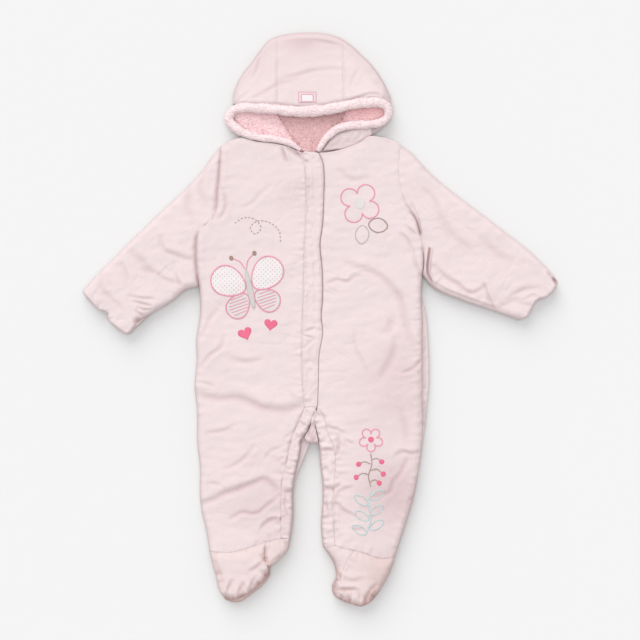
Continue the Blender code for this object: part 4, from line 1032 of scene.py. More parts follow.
# %% Gusset: a small gathered piece at the crotch
gusset_at = spacing(41, min(CELL, 1.2))
gusset_first = course(xy("-6.8 -110  -9.6 -119  -12.2 -132  -18.4 -145  -13.6 -151"), gusset_at)
gusset_second = course(xy("-4.2 -110  -6.0 -120  -5.6 -132  -3 -143  -2.4 -151"), gusset_at)
gusset_plan = patch(gusset_first, gusset_second, spacing(14, min(CELL, 1.0)))
gusset_full = swell(gusset_plan, [(gusset_first, (3.0, 0.92)), (gusset_second, (3.0, 0.92)),
                                  (gusset_plan[-1], (4.0, 0.4))])
gathers = 0.8 * waves(gusset_plan, 5.0, 93, 2.6, 1.3)
gusset_top = FRONT_BASE + 10.2 * gusset_full + gathers * np.linspace(0.2, 1, len(gusset_at))[:, None] * gusset_full
# Painted shade over the gusset, deeper in the troughs of its gathers.
cut_piece("gusset", gusset_plan, FRONT_BASE, gusset_top, SHELL,
          marks=np.clip(0.4 - 0.3 * gathers, 0, 1))

# %% [markdown]
# ## Sleeves
# A sleeve is one cut piece folded round to a tube and sewn into the armhole. Laid flat it becomes a
# pillow with a soft fold along each side and an open end at the wrist. It starts from the body's own
# armhole points, so the seam fits, and its two faces are heights over one plan, joined at the sides.

# %% A sleeve from its four border lines
SLEEVE_MIDDLE, SLEEVE_RISE, SLEEVE_THICK = 8.5, 9.1, 7.0


def sleeve(node_name, upper, lower, armhole, cuff, mouth, seed, head_edge, shaded_hollows, body_top):
    """Flattened tube: over(p) = 8.5 + rise·swell - folds + puckers, under(p) = 8.5·(1 - swell).

    The rise is 9.1, and 1.7 more at the armhole, where the body is that much thicker. The inner face
    is the same plan drawn in by the cloth's thickness, a slit above and below the middle that mouth
    opens towards the wrist.
    """
    down = spacing(240)
    upper_line, lower_line = course(upper, down), course(lower, down)
    across = run_length(armhole) / run_length(armhole)[-1]
    plan = patch(upper_line, lower_line, across, top=armhole, bottom=cuff)
    sides = [(plan[:, 0], (8.5, 0.10)), (plan[:, -1], (9.0, 0.10))]
    head = [(plan[0], (4.0, head_edge)), (plan[-1], (3.0, 0.55))]
    seams = [(plan[0], 0.4, 8, 11, seed), (plan[:, 0], 0.35, 10, 14, seed + 1), (plan[:, -1], 0.5, 9, 10, seed + 2),
             (plan[-1], 0.6, 8, 9, seed + 3)]

    def loose(points):
        full = swell(points, sides + head)
        rise = SLEEVE_RISE + 1.7 * np.exp(-(near(points, plan[0])[0] / 25) ** 2)
        return (SLEEVE_MIDDLE + rise * full - fold_depth(points, SLEEVE_FOLDS) * np.clip(1.25 * full - 0.1, 0, 1)
                + (puckers(points, seams) + rumple(points)) * np.minimum(full * 1.2, 1))

    over = np.maximum(joined(loose, plan[0], body_top, 6.0)(plan), SLEEVE_MIDDLE + 0.4)
    under = SLEEVE_MIDDLE * (1 - swell(plan, sides)) + 0.2 * np.abs(waves(plan, 40, seed + 9))
    width = np.linalg.norm(plan[:, -1] - plan[:, 0], axis=-1)
    inset = (SLEEVE_THICK / width)[:, None]
    spread = inset + (1 - 2 * inset) * across
    hollow = np.dstack([[np.interp(at, across, row) for at, row in zip(spread, plan[..., axis])]
                        for axis in range(2)])
    slit = (0.3 + mouth * np.linspace(0, 1, len(down)) ** 12)[:, None] * np.sin(np.pi * across)[None, :]
    over_inner = np.minimum(SLEEVE_MIDDLE + slit, over - 1.2)
    under_inner = np.maximum(SLEEVE_MIDDLE - slit, under + 1.2)
    outer = np.hstack([np.dstack([plan, over]), np.dstack([plan, under])[:, ::-1]])
    inner = np.hstack([np.dstack([hollow, over_inner]), np.dstack([hollow, under_inner])[:, ::-1]])
    kept_rings = np.r_[np.linspace(0, len(inner) - 1, 26).round().astype(int), len(inner) - 26:len(inner)]
    inner = inner[np.unique(kept_rings)]
    # Painted shade in the armhole folds, the armpit slit and the open cuff, at the cuff seam and on steep sides; the
    # underside gets less.
    marks = (painted_shade_marks(plan, [(plan[-1], 0.15), *shaded_hollows], SLEEVE_FOLDS, 2.2)
             + STEEP_SHADE * steepness(outer[:, :plan.shape[1]]))
    piece = tube(f"{node_name}_cloth", outer, inner, SHELL, np.hstack([marks, 0.3 * marks[:, ::-1]]))
    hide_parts(node_name)


sleeve(
    "sleeve_right",
    upper=xy("-121.5 210.9  -129 202.5  -143 183.5  -205 121.5  -246 81  -282.5 43.5  -290.5 34"),
    lower=xy("-148.1 40.4  -163.5 36.5  -181 22.5  -199 11.5  -221.5 -2"),
    armhole=course(ARMHOLE_RIGHT, ARM_AT) + (-0.06, 0.03),
    cuff=xy("-280 21.5  -269.5 11.5  -259 6.5  -259 1.5  -249.5 -9  -234 -17.5  -226 -9.5"),
    mouth=1.5, seed=70,
    head_edge=ARMHOLE_RIGHT_EDGE,
    shaded_hollows=[(ARMHOLE_RIGHT_UPPER, 0.45), (ARMHOLE_RIGHT_LOWER, 0.5), ([(-226, -2), (-222, 1)], 0.6)],
    body_top=right_front_top)
sleeve(
    "sleeve_left",
    upper=xy("98.1 213.3  112 203.3  130.5 183.5  215 115.5  263.5 76.5  284.5 54.5  290.5 46"),
    lower=xy("125.5 54.3  136.5 41  172 24  212.5 10.5  243 -0.6"),
    armhole=course(ARMHOLE_LEFT, ARM_AT) + (0.05, 0.02),
    cuff=xy("286 36  277 27.5  264.5 22.5  258 12  252.5 3"),
    mouth=2.5, seed=80,
    head_edge=ARMHOLE_LEFT_EDGE,
    shaded_hollows=[(ARMPIT_LEFT_LINE, 0.4), (ARMPIT_SLIT, 0.5), ([(285, 49), (288, 45)], 1.0)], body_top=left_front_top)

# %% [markdown]
# ## The hood
# Three shell panels make the hood: a middle strip from nape to brow and a panel on each side. Laid
# down, each one folds over at the crown, so its section is a U: a back layer on the table, a round
# fold, and a front layer that rises towards the face edge. The station table gives, for each x, the
# crown line, the face edge, the nape line and the radius of the fold, and a smooth curve reads it.

# %% Stations of the hood
# x, crown, face, nape, radius
HOOD_STATIONS = np.array(numbers("""
-106.5 273 264 243.5 3.2
-104.5 279 264 239 5
-101 288 264 234 6.6
-94 300.5 264 227 7.8
-84 313 263.6 222.4 8.5
-72 330 263.2 222.4 8.5
-62 341 262.8 222.4 8.5
-52.5 345.5 262.4 222.4 8.5
-33 349.5 260.2 222.4 8.5
-15 350.5 259.4 222.4 8.5
5 349.5 261.8 222.4 8.5
28 342 266 222.4 8.5
38 335 268.2 222.4 8.5
50 324 270.2 222.4 8.5
61 313.5 270.8 224.5 8.5
71 300.5 270.6 230 8
79 287 269 237 7
84 276 266 244 5
86.5 270 263 250 3.2
"""))
FACE_SET_BACK, HOOD_MIDDLE, HOOD_WALL, HOOD_LIFT = 1.7, 8.5, 7.5, 8.0
HOOD_STATIONS[:, 2] -= FACE_SET_BACK
SEAM_HOOD_RIGHT = xy("-52.5 225  -53.4 290  -52.6 318  -52.5 346")
SEAM_HOOD_LEFT = xy("28 225  28.8 290  28.2 318  28 343")


def hood_stations(x):
    """Crown, face edge, nape line and radius of the fold at x."""
    return np.moveaxis(cubic(HOOD_STATIONS[:, 0], HOOD_STATIONS[:, 1:], x), -1, 0)


def hood_top(points):
    """Front layer: middle + radius + lift·share^1.5 - folds + ripples; share is 0 at the crown, 1 at the face."""
    x, y = np.asarray(points)[..., 0], np.asarray(points)[..., 1]
    crown, face, _, radius = hood_stations(x)
    share = np.clip((crown - y) / np.maximum(crown - face, 1), 0, 1)
    lift = HOOD_LIFT * np.clip((radius - 3.0) / 5.5, 0, 1) ** 1.5
    held = swell(points, [(SEAM_HOOD_RIGHT, (3.0, 0.994)), (SEAM_HOOD_LEFT, (3.0, 0.994)),
                         (face_line, (5.0, 0.86))])
    ripples_here = puckers(points, [(SEAM_HOOD_RIGHT, 0.15, 6, 8, 101), (SEAM_HOOD_LEFT, 0.15, 6, 8, 102),
                                    (face_line, 0.45, 6, 9, 103)])
    return ((HOOD_MIDDLE + radius + lift * share ** 1.5) * held - fold_depth(points, HOOD_FOLDS)
            + ripples_here + 0.7 * rumple(points) * np.clip(share * 6, 0, 1))


face_line = HOOD_STATIONS[:, [0, 2]]
print("hood stations:", len(HOOD_STATIONS))


# %% A hood panel as a U-shaped wall
def hood_panel(node_name, first, last):
    """Rings at each x: straight back layer, half circle of the fold's radius, front layer from hood_top."""
    x = first + (last - first) * spacing(last - first)
    crown, face, nape, radius = hood_stations(x)
    inner_radius = np.maximum(0.4, radius - HOOD_WALL)
    back_share = np.linspace(0, 1, 16)[:, None]
    turn = np.linspace(-np.pi / 2, np.pi / 2, 15)[1:-1, None]
    front_share = np.r_[np.linspace(0, 0.985, round(80 / CELL)), 0.992, 1.0][:, None]
    bend = crown - radius
    grids, marks = [], None
    for reach in (radius, inner_radius):
        back_y = nape + (bend - nape) * back_share
        fold_y = bend + reach * np.cos(turn)
        front_y = np.minimum(bend, bend + (face - bend) * front_share)
        plan_x = np.broadcast_to(x, front_y.shape)
        front_plan = np.stack([plan_x, front_y], -1)
        front_z = hood_top(front_plan) - (radius - reach)
        at_bend = (front_z[0] - (HOOD_MIDDLE + reach))[None, :]
        share_of_turn = (0.5 + turn / np.pi) ** 2
        fold_z = HOOD_MIDDLE + reach * np.sin(turn) + at_bend * share_of_turn
        y = np.concatenate([back_y, fold_y, front_y])
        z = np.concatenate([np.broadcast_to(HOOD_MIDDLE - reach, back_y.shape), fold_z, front_z])
        grids.append(np.dstack([np.broadcast_to(x, y.shape), y, z]))
        if marks is None:
            # Painted shade beside the hood seams and in its folds, a little below the crown, and on the rolled crown,
            # darkest at its outer edge.
            front_marks = painted_shade_marks(front_plan, [(SEAM_HOOD_RIGHT, 0.06), (SEAM_HOOD_LEFT, 0.06)], HOOD_FOLDS)
            front_marks += 0.15 * np.exp(-((bend - front_y) / 9) ** 2)
            fold_marks = np.broadcast_to(0.15 + 0.35 * np.cos(turn) ** 1.5, (len(turn), len(x)))
            marks = np.concatenate([np.zeros((len(back_share), len(x))), fold_marks, front_marks])
    piece = wall(f"{node_name}_cloth", *grids, SHELL, "shell", marks)
    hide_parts(node_name)


hood_panel("hood_side_right", -106.5, -52.52)
hood_panel("hood_centre", -52.49, 27.985)
hood_panel("hood_side_left", 28.015, 86.5)

# %% The corner of the left hood panel, folded forward over the neck seam
lap_at = spacing(9, 1.2)
lap_left = course([(5.2, 209.6), (4.2, 205.4)], lap_at)
lap_right = course([(62.5, 234.2), (63.2, 225.6)], lap_at)
lap_plan = patch(lap_left, lap_right, spacing(60, min(CELL, 1.5)), top=xy("12.8 219.6  22.8 227.6  38 232"),
                 bottom=xy("31.5 209.3  49.4 216.5  58 222"))
LAP_FOLDS = folds("""
2 1.8  12 210  20 214  26 221
1.8 1.8  22 211  32 216  40 225
1.8 1.8  36 215  44 220  50 227
""")


def lap_top(points):
    """Thin padded corner with three slanting creases and rippled edges."""
    return (FRONT_BASE + 8.6 * swell(points, [(around(lap_plan), (4.0, 0.8))]) - fold_depth(points, LAP_FOLDS)
            + puckers(points, [(lap_plan[-1], 0.5, 5, 8, 111)]) + 0.2 * waves(points, 12, 112))


cut_piece("hood_lap_left", lap_plan, FRONT_BASE, lap_top(lap_plan), SHELL,
          marks=painted_shade_marks(lap_plan, [(lap_plan[-1], 0.15)], LAP_FOLDS))


# %% [markdown]
# ## Plush lining and its rolled rim
# The lining is a knitted pile with short curls. Where the hood lies open it shows its back piece, deep
# in the hood, and the two sides, and its edge rolls out round the face as a thick soft rim. A bump
# alone leaves the outline smooth, so small curls of real mesh stand on the surface as well: short
# leaning pegs with a few faces, made as whole arrays.

# %% Lining pieces
def lining_piece(node_name, left, right, thickness, material, seed, shade_from, bottom=()):
    """Lining in the hood: base + thickness·swell + a broad unevenness; it is painted in shade at its edges and, under
    the rim, beyond the given y.
    """
    at = spacing(60, min(CELL, 2.0))
    plan = patch(course(left, at), course(right, at), at, bottom=bottom)
    borders = [(around(plan), (6.0, 0.5))]

    def height(points):
        return FRONT_BASE + thickness * swell(points, borders) + 0.35 * waves(points, 22, seed)

    # Painted shade at the lining's edges and under the rim.
    deep = 0.8 * np.clip((plan[..., 1] - shade_from) / 12, 0, 1)
    cut_piece(node_name, plan, FRONT_BASE - 0.4, height(plan), material, slot="plush",
              marks=np.exp(-near(plan, around(plan))[0] / 3.0) * 0.4 + deep)
    return height, plan


lining_centre_top, lining_centre_plan = lining_piece(
    "lining_centre", xy("-55.5 290  -49.8 248  -36 225  -23.2 206"),
    xy("33 290  29.5 250  22 234  8 218  -3.4 205"), 2.6, LINING_DEEP_SHADE, 121, 237)
lining_right_top, lining_right_plan = lining_piece(
    "lining_side_right", xy("-88 273  -97 263  -105 252  -104 242  -98 234  -90 228"),
    xy("-56 290  -50.3 248  -36.6 225.2  -26 208.6"), 5.5, LINING_LIT, 122, 246,
    bottom=xy("-76 220.5  -55 217.6  -38 213.4"))
lining_left_top, lining_left_plan = lining_piece(
    "lining_side_left", xy("33.6 288  30.1 250  24.6 237.5"),
    xy("66 280  76 267  79 254  77 247  70 243"), 4.5, LINING_SHADED, 123, 246,
    bottom=[(38, 234.5), (54, 236.5)])


# %% A curl, and a field of curls
CURL_SHARE = np.array([0.0, 0.35, 0.75, 1.0])
CURL_GIRTH = np.array([0.75, 1.0, 0.85, 0.35])
PEG_SIDES = 4


def pegs(name, centre, girth, first, second, material, ring_marks):
    """Closed pegs of 4 rings by 4 points: ring point = centre + girth·(cos·first + sin·second).

    centre is (pegs, rings, 3), girth is (pegs, rings), and first and second span each peg's section.
    """
    angle = np.arange(PEG_SIDES) * 2 * np.pi / PEG_SIDES
    points = centre[:, :, None] + girth[:, :, None, None] * (
        np.cos(angle)[None, None, :, None] * first[:, None, None]
        + np.sin(angle)[None, None, :, None] * second[:, None, None])
    count, rings = girth.shape
    number, skin = ring_cells(rings, PEG_SIDES)
    one = np.concatenate([np.roll(skin[:, ::-1], 1, axis=1), number[0][None, ::-1], number[-1][None]])
    faces = (np.arange(count)[:, None, None] * number.size + one).reshape(-1, 4)
    marks = np.broadcast_to(np.asarray(ring_marks)[None, :, None], (count, rings, PEG_SIDES))
    add_piece(name, points.reshape(-1, 3), faces, material, marks)
    print(name, count, "pegs,", len(faces), "faces")


def curl_field(name, roots, normals, length, width, material, slot, seed):
    """Leaning curls: ring centre = root + n·L·t + lean·L·t², radius = width·girth(t).

    Each curl has its own lean, length (0.7 to 1.3 of L) and turn; n is the surface's normal.
    """
    dice = np.random.default_rng(seed)
    count = len(roots)
    tall = length * dice.uniform(0.7, 1.3, (count, 1, 1))
    lean = dice.normal(0, 0.5, (count, 1, 3))
    first = np.cross(normals, dice.normal(0, 1, (count, 3)))
    first /= np.linalg.norm(first, axis=1)[:, None] + 1e-9
    share = CURL_SHARE[None, :, None]
    centre = roots[:, None] - 0.3 * normals[:, None] + normals[:, None] * tall * share + lean * tall * share ** 2
    girth = width * dice.uniform(0.8, 1.25, (count, 1)) * CURL_GIRTH[None, :]
    # Painted shade at the root of each curl, fading out towards its tip.
    pegs(name, centre, girth, first, np.cross(normals, first), material, [0.35, 0.18, 0.04, 0.0])


def scatter(plan, height, pitch, seed):
    """Roots about a pitch apart on a plan grid, each moved at random, with the slope's own normal."""
    dice = np.random.default_rng(seed)
    rows_here = max(2, int(run_length((plan[:, 0] + plan[:, -1]) / 2)[-1] / pitch))
    columns = max(2, int(np.linalg.norm(plan[:, -1] - plan[:, 0], axis=1).max() / pitch))
    v, u = np.meshgrid(np.linspace(0.01, 0.99, rows_here), np.linspace(0.01, 0.99, columns), indexing="ij")
    v = np.clip(v + dice.uniform(-0.4, 0.4, v.shape) / rows_here, 0, 1) * (plan.shape[0] - 1)
    u = np.clip(u + dice.uniform(-0.4, 0.4, u.shape) / columns, 0, 1) * (plan.shape[1] - 1)
    i, j = np.minimum(v.astype(int), plan.shape[0] - 2), np.minimum(u.astype(int), plan.shape[1] - 2)
    s, t = (v - i)[..., None], (u - j)[..., None]
    at = ((1 - s) * (1 - t) * plan[i, j] + s * (1 - t) * plan[i + 1, j] + (1 - s) * t * plan[i, j + 1]
          + s * t * plan[i + 1, j + 1]).reshape(-1, 2)
    step = 0.5
    z = height(at)
    slope_x = (height(at + (step, 0)) - z) / step
    slope_y = (height(at + (0, step)) - z) / step
    normals = np.stack([-slope_x, -slope_y, np.ones(len(z))], -1)
    return np.column_stack([at, z]), normals / np.linalg.norm(normals, axis=1)[:, None]


LINING_PITCH = 1.9
for label, plan, height, material, seed in (
        ("lining_centre_curls", lining_centre_plan, lining_centre_top, LINING_DEEP_SHADE, 131),
        ("lining_right_curls", lining_right_plan, lining_right_top, LINING_LIT, 132),
        ("lining_left_curls", lining_left_plan, lining_left_top, LINING_SHADED, 133)):
    curl_field(label, *scatter(plan, height, LINING_PITCH, seed), 1.0, 1.0, material, "plush", seed)

# %% The rolled rim round the face
# x, y, z, half width, half height
RIM_STATIONS = np.array(numbers("""
-24 206.6 15.6 2.4 2.8
-37 214.8 17.6 3.8 4.2
-55 219.5 18 4.2 4.4
-76 222 18 4.4 4.5
-94 228 17.8 5 4.8
-106 236 15.6 5.5 5.5
-111.5 244 14.4 5.5 6
-107.5 253 15.2 5.5 6
-97 257.4 17.8 5.8 6
-80 257 19.8 6 6
-60 256 21 6.2 6
-26 252.8 21.7 6.3 6
6 254.8 21.7 6.3 6
41 262 21 6.2 6
62 264.2 19.8 6 6
76 262.6 17.8 5.6 6
82.6 256.5 15.6 5.2 6
82.8 248.5 14.6 5 6
76.5 241.6 15.2 5 5.5
60 237.5 17.2 5 4.8
38 236.5 18.2 5 4.6
21 232 18.4 4.8 4.5
10 223.5 18 4.4 4.4
2 213 17.6 3.8 4.2
-2.6 205.8 15.4 2.4 2.8
"""))
RIM_RINGS, RIM_SIDES = ((420, 22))


def rim_surface(share, angle):
    """Point on the roll: centre(share) + w·cos(angle)·side + h·sin(angle)·up, with soft lumps along it."""
    centre = course(RIM_STATIONS[:, :3], share)
    chord = run_length(RIM_STATIONS[:, :3])
    width, height = (np.interp(share * chord[-1], chord, RIM_STATIONS[:, column]) - 0.3 for column in (3, 4))
    before, after = (course(RIM_STATIONS[:, :3], np.clip(share + step, 0, 1)) for step in (-0.002, 0.002))
    side = to_left((after - before)[:, :2])
    lumps = 1 + 0.05 * waves(np.stack([share * chord[-1], angle * 6], -1), 16, 141)
    out_way = np.column_stack([np.cos(angle)[:, None] * side, np.sin(angle)])
    reach = np.column_stack([(width * lumps * np.cos(angle))[:, None] * side, height * lumps * np.sin(angle)])
    return centre + reach, out_way


share, angle = np.meshgrid(np.linspace(0, 1, RIM_RINGS), np.arange(RIM_SIDES) * 2 * np.pi / RIM_SIDES,
                           indexing="ij")
rim_points, _ = rim_surface(share.ravel(), angle.ravel())
number, rim_skin = ring_cells(RIM_RINGS, RIM_SIDES)
caps = []
all_rim_points = np.vstack([rim_points, rim_points[number[0]].mean(0), rim_points[number[-1]].mean(0)])
for end, tip in ((0, len(rim_points)), (-1, len(rim_points) + 1)):
    pairs = number[end].reshape(-1, 2)
    after = np.roll(number[end], -2).reshape(-1, 2)[:, 0]
    fan = np.stack([np.full(len(pairs), tip), pairs[:, 0], pairs[:, 1], after], -1)
    caps.append(fan if end == -1 else fan[:, ::-1])
rim = add_piece("hood_rim_plush", all_rim_points, np.concatenate([rim_skin, *caps]), RIM,
                np.full(len(all_rim_points), 0.25))
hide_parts("hood_rim")
RIM_CURLS = 6600
dice = np.random.default_rng(142)
curl_share, curl_angle = dice.uniform(0, 1, RIM_CURLS), dice.uniform(-0.55, np.pi + 0.55, RIM_CURLS)
curl_roots, curl_normals = rim_surface(curl_share, curl_angle)
curl_field("hood_rim_curls", curl_roots, curl_normals, 0.6, 1.1, RIM, "rim", 143)

# %% [markdown]
# ## Closed feet
# Each leg ends in a soft foot: a sole below, an upper gathered round the toe, and an inner side piece.
# The gathers are deep near the toe's edge and fade up the foot, and the edge of the sole rolls up in
# small lumps. Three padded patches per foot keep the seams where they are on the solids.


# %% One foot
SOLE_WALL, VAMP_WALL, FOOT_SIDE_WALL = 8.0, 13.5, 12.2


def foot(side, ankle, leg_top, vamp, inner_side, sole, shared, seed):
    """Sole, upper and inner side of one foot, each base + wall·swell - folds + gathers at its edge.

    The side piece takes the first share of the upper's seam line as its own.
    """
    at_down, at_across = spacing(62, min(CELL, 1.6)), spacing(66, min(CELL, 1.6))

    def ankle_row(lines, across):
        x = lines["left"][0][0] + (lines["right"][0][0] - lines["left"][0][0]) * across
        return np.stack([x, np.interp(x, ankle[:, 0], ankle[:, 1]) - 0.05], -1)

    upper_row = ankle_row(vamp, at_across)
    vamp_plan = patch(course([upper_row[0], *vamp["left"][1:]], at_down),
                      course([upper_row[-1], *vamp["right"][1:]], at_down), at_across, top=upper_row,
                      bottom=vamp["bottom"])
    seam_at, free_at = (-1, 0) if side == "right" else (0, -1)
    seam_side, free_side, toe = vamp_plan[:, seam_at], vamp_plan[:, free_at], vamp_plan[-1]
    borders = [(free_side, (10.0, 0.14)), (toe, (11.0, 0.10)), (vamp_plan[0], (12.0, 0.80)), (seam_side, (3.0, 0.90))]

    def gathered(points):
        return puckers(points, [(toe, 1.5, 4.5, 4.6, seed), (toe, 1.0, 9, 9, seed + 10),
                                (free_side, 0.7, 7, 10, seed + 1), (vamp_plan[0], 0.5, 6, 8, seed + 2),
                                (seam_side, 0.5, 5, 8, seed + 3)])

    def loose_vamp(points):
        return (FRONT_BASE + VAMP_WALL * swell(points, borders) - fold_depth(points, FOOT_FOLDS)
                + gathered(points) + rumple(points))

    hung_vamp = joined(loose_vamp, upper_row, leg_top, 6.0)

    def vamp_top(points):
        return np.maximum(hung_vamp(points), LEAST_TOP)

    # Painted shade at the seams, in the folds and gather troughs, and along the toe where it rolls under.
    cut_piece(f"vamp_{side}", vamp_plan, FRONT_BASE, vamp_top(vamp_plan), FOOT,
              slot="foot", marks=painted_shade_marks(vamp_plan, [(vamp_plan[0], 0.04), (seam_side, 0.08)], FOOT_FOLDS)
              + 0.25 * np.clip(-gathered(vamp_plan), 0, 2) + 0.5 * np.exp(-(near(vamp_plan, toe)[0] / 4.5) ** 2))

    at_down, at_across = spacing(38, min(CELL, 1.5)), spacing(28, min(CELL, 1.5))
    gap = 0.06 if side == "right" else -0.06
    side_row = ankle_row(inner_side, at_across)
    seam_line = read_at(seam_side, at_down * shared * run_length(seam_side)[-1]) + (gap, 0)
    own_line = course([side_row[seam_at], *inner_side[side][1:]], at_down)
    edges = (seam_line, own_line) if side == "right" else (own_line, seam_line)
    side_plan = patch(*edges, at_across, top=side_row)
    free_line_here = side_plan[:, seam_at]
    side_borders = [(free_line_here, (9.0, 0.14)), (seam_line, (3.0, 0.985)), (side_plan[0], (8.0, 0.89)),
                    (side_plan[-1], (5.0, 0.3))]

    def loose_side(points):
        return (FRONT_BASE + FOOT_SIDE_WALL * swell(points, side_borders) + rumple(points)
                + puckers(points, [(side_plan[0], 0.9, 6, 7, seed + 5), (free_line_here, 0.7, 6, 8, seed + 6)]))

    side_top = joined(joined(loose_side, side_row, leg_top, 6.0), seam_line, vamp_top, 5.0)
    cut_piece(f"foot_side_{side}", side_plan, FRONT_BASE, np.maximum(side_top(side_plan), LEAST_TOP), FOOT,
              slot="foot",
              marks=painted_shade_marks(side_plan, [(side_plan[0], 0.06), (seam_line, 0.08)], FOOT_FOLDS))

    at_down, at_across = spacing(62, min(CELL, 2.0)), spacing(88, min(CELL, 2.0))
    sole_plan = patch(course(sole["left"], at_down), course(sole["right"], at_down), at_across,
                      top=sole["top_line"], bottom=sole["bottom"])
    border = np.vstack([sole_plan[:, 0], sole_plan[-1], sole_plan[::-1, -1]])
    rounded = swell(sole_plan, [(border, (9.0, 0.14))])
    ripples_below = 0.25 * np.abs(waves(sole_plan, 20, seed + 8))
    low = np.minimum(SOLE_WALL * 0.8 * (1 - rounded) + ripples_below, SOLE_WALL - THINNEST)
    high = (SOLE_WALL - 1.2 * (1 - swell(sole_plan, [(border, (4.0, 0.2))]))
            + puckers(sole_plan, [(border, 0.8, 3, 7, seed + 9)]))
    # Painted shade along the sole's rolled edge.
    cut_piece(f"sole_{side}", sole_plan, low, high, FOOT, slot="foot",
              marks=np.exp(-near(sole_plan, border)[0] / 3.0) * 0.8)


foot(
    "right", np.vstack([right_plan[-1], right_band_end]),
    lambda p: np.where(p[..., 0] < right_band_end[0, 0], right_front_top(p), right_band_top(p)),
    vamp={"left": xy("-134.9 -283.6  -132 -295  -127 -314  -122 -333  -115.5 -341.5"),
          "right": xy("-66 -271.2  -67 -280  -67 -292  -64 -300  -62.6 -312.5"),
          "bottom": xy("-107 -342.6  -97.5 -340  -83 -332")},
    inner_side={"left": [(-65.94, -271.2)], "right": xy("-37.0 -267.6  -39 -281  -48 -292  -58.6 -301.6")},
    sole={"left": xy("-134.6 -284.4  -131.6 -295  -126.6 -314  -121.6 -333  -115.8 -342"),
          "right": xy("-37.9 -267.8  -39 -281  -48 -292  -60 -303  -61.2 -313"),
          "top_line": xy("-111 -285.2  -75 -276  -58 -271"),
          "bottom": xy("-108.6 -345  -100 -345.6  -84 -336  -68 -322.5")},
    shared=0.67, seed=150)
foot(
    "left", np.vstack([left_band_end, main_left[-1]]),
    lambda p: np.where(p[..., 0] > left_band_end[-1, 0], left_front_top(p), left_band_top(p)),
    vamp={"left": xy("40.6 -281.8  27.2 -305.6  21.5 -318  15 -325"),
          "right": xy("91.6 -289.2  90 -296  83 -314  72 -333"),
          "bottom": xy("16 -334.5  29.5 -344.5  41.5 -348.5  49 -350.5  57 -348  65 -341.5")},
    inner_side={"left": xy("3.6 -277.2  14.6 -292  19.3 -303  20.6 -315.5"), "right": [(40.54, -281.8)]},
    sole={"left": xy("3.6 -277.6  13.8 -292  18.4 -303  19.6 -315  14.6 -325"),
          "right": xy("91.6 -289.6  90 -296  83 -314  72 -333.2"),
          "top_line": xy("26 -278.6  50 -284.6  77 -292"),
          "bottom": xy("16 -335  29.5 -344.8  41.5 -348.7  49 -350.5  57 -348  65 -341.7")},
    shared=0.77, seed=170)

# %% [markdown]
# ## A woven label on the hood
# A small label is sewn flat above the face edge: a white woven square inside a pink border. It stays
# bare. A thin slab takes the hood's own height, and a raised border runs round it.


# %% Threads and motif cloths
THREAD_PINK, THREAD_ROSE, THREAD_TAUPE, THREAD_GREY, THREAD_AQUA, THREAD_SHELL = (
    finish_cloth(f"thread_{name}", strands, {"Strands per mm": 1.6, "Slant": 0.8}, cloth, fold, 0.12, 0.00008,
                 0.5, 0.2)
    for name, cloth, fold in (
        ("pink", (266, 172, 198), (246, 140, 168)), ("rose", (253, 206, 216), (240, 184, 198)),
        ("taupe", (192, 168, 158), (160, 134, 126)), ("grey", (224, 216, 216), (200, 190, 190)),
        ("aqua", (216, 244, 245), (190, 220, 224)), ("shell", (248, 232, 233), (238, 216, 218))))
SATIN_PINK, SATIN_TAUPE, SATIN_GREY, BODY_GREY, ROSE_COTTON, WHITE_COTTON, DOTTED_COTTON = (
    finish_cloth(name, weave, {"Threads per metre": count, "Slub": 0.3}, cloth, fold, 0.05, 0.00003, 0.6, 0.1)
    for name, count, cloth, fold in (
        ("satin_pink", 1900.0, (242, 116, 148), (222, 94, 128)),
        ("satin_taupe", 1900.0, (168, 144, 132), (140, 112, 102)),
        ("satin_grey", 1900.0, (232, 225, 225), (214, 206, 206)),
        ("satin_mouse_grey", 1900.0, (218, 211, 209), (198, 188, 186)),
        ("rose_cotton", 1700.0, (248, 220, 227), (232, 196, 206)),
        ("white_cotton", 1700.0, (246, 241, 242), (226, 214, 216)),
        ("dotted_cotton", 1700.0, (244, 240, 240), (226, 214, 216))))
print("threads and motif cloths:", 13)

# %% Dotted cotton: pink dots on a slanted lattice, 3.9 mm apart
dots, given, out = new_group("polka_dots", [("Pitch", "Float", 0.0039), ("Radius", "Float", 0.2)], [("Dot", "Float")])
axes = node(dots, "ShaderNodeSeparateXYZ", {0: node(dots, "ShaderNodeTexCoord").outputs["Object"]}).outputs
offsets = []
for sign in ("+", "-"):
    slanting = math(dots, "*", math(dots, sign, axes["X"], axes["Y"]), 0.7071)
    cell_place = math(dots, "FRACT", math(dots, "/", slanting, given["Pitch"]))
    offsets.append(math(dots, "POWER", math(dots, "ABSOLUTE", math(dots, "-", cell_place, 0.5)), 2.0))
from_dot = math(dots, "SQRT", math(dots, "+", *offsets))
edge_of_dot = math(dots, "*", math(dots, "-", given["Radius"], from_dot), 12.0)
dots.links.new(node(dots, "ShaderNodeClamp", {"Value": edge_of_dot}).outputs[0], out["Dot"])
tree = DOTTED_COTTON.node_tree
shader = tree.nodes["Principled BSDF"]
plain_color = shader.inputs["Base Color"].links[0].from_socket
dot_mask = node(tree, "ShaderNodeGroup", node_tree=dots)
dotted = node(tree, "ShaderNodeMix", {"Factor": dot_mask.outputs["Dot"], "A": plain_color,
                                      "B": linear(236, 150, 176)}, data_type="RGBA")
tree.links.new(dotted.outputs["Result"], shader.inputs["Base Color"])
print("material:", DOTTED_COTTON.name)


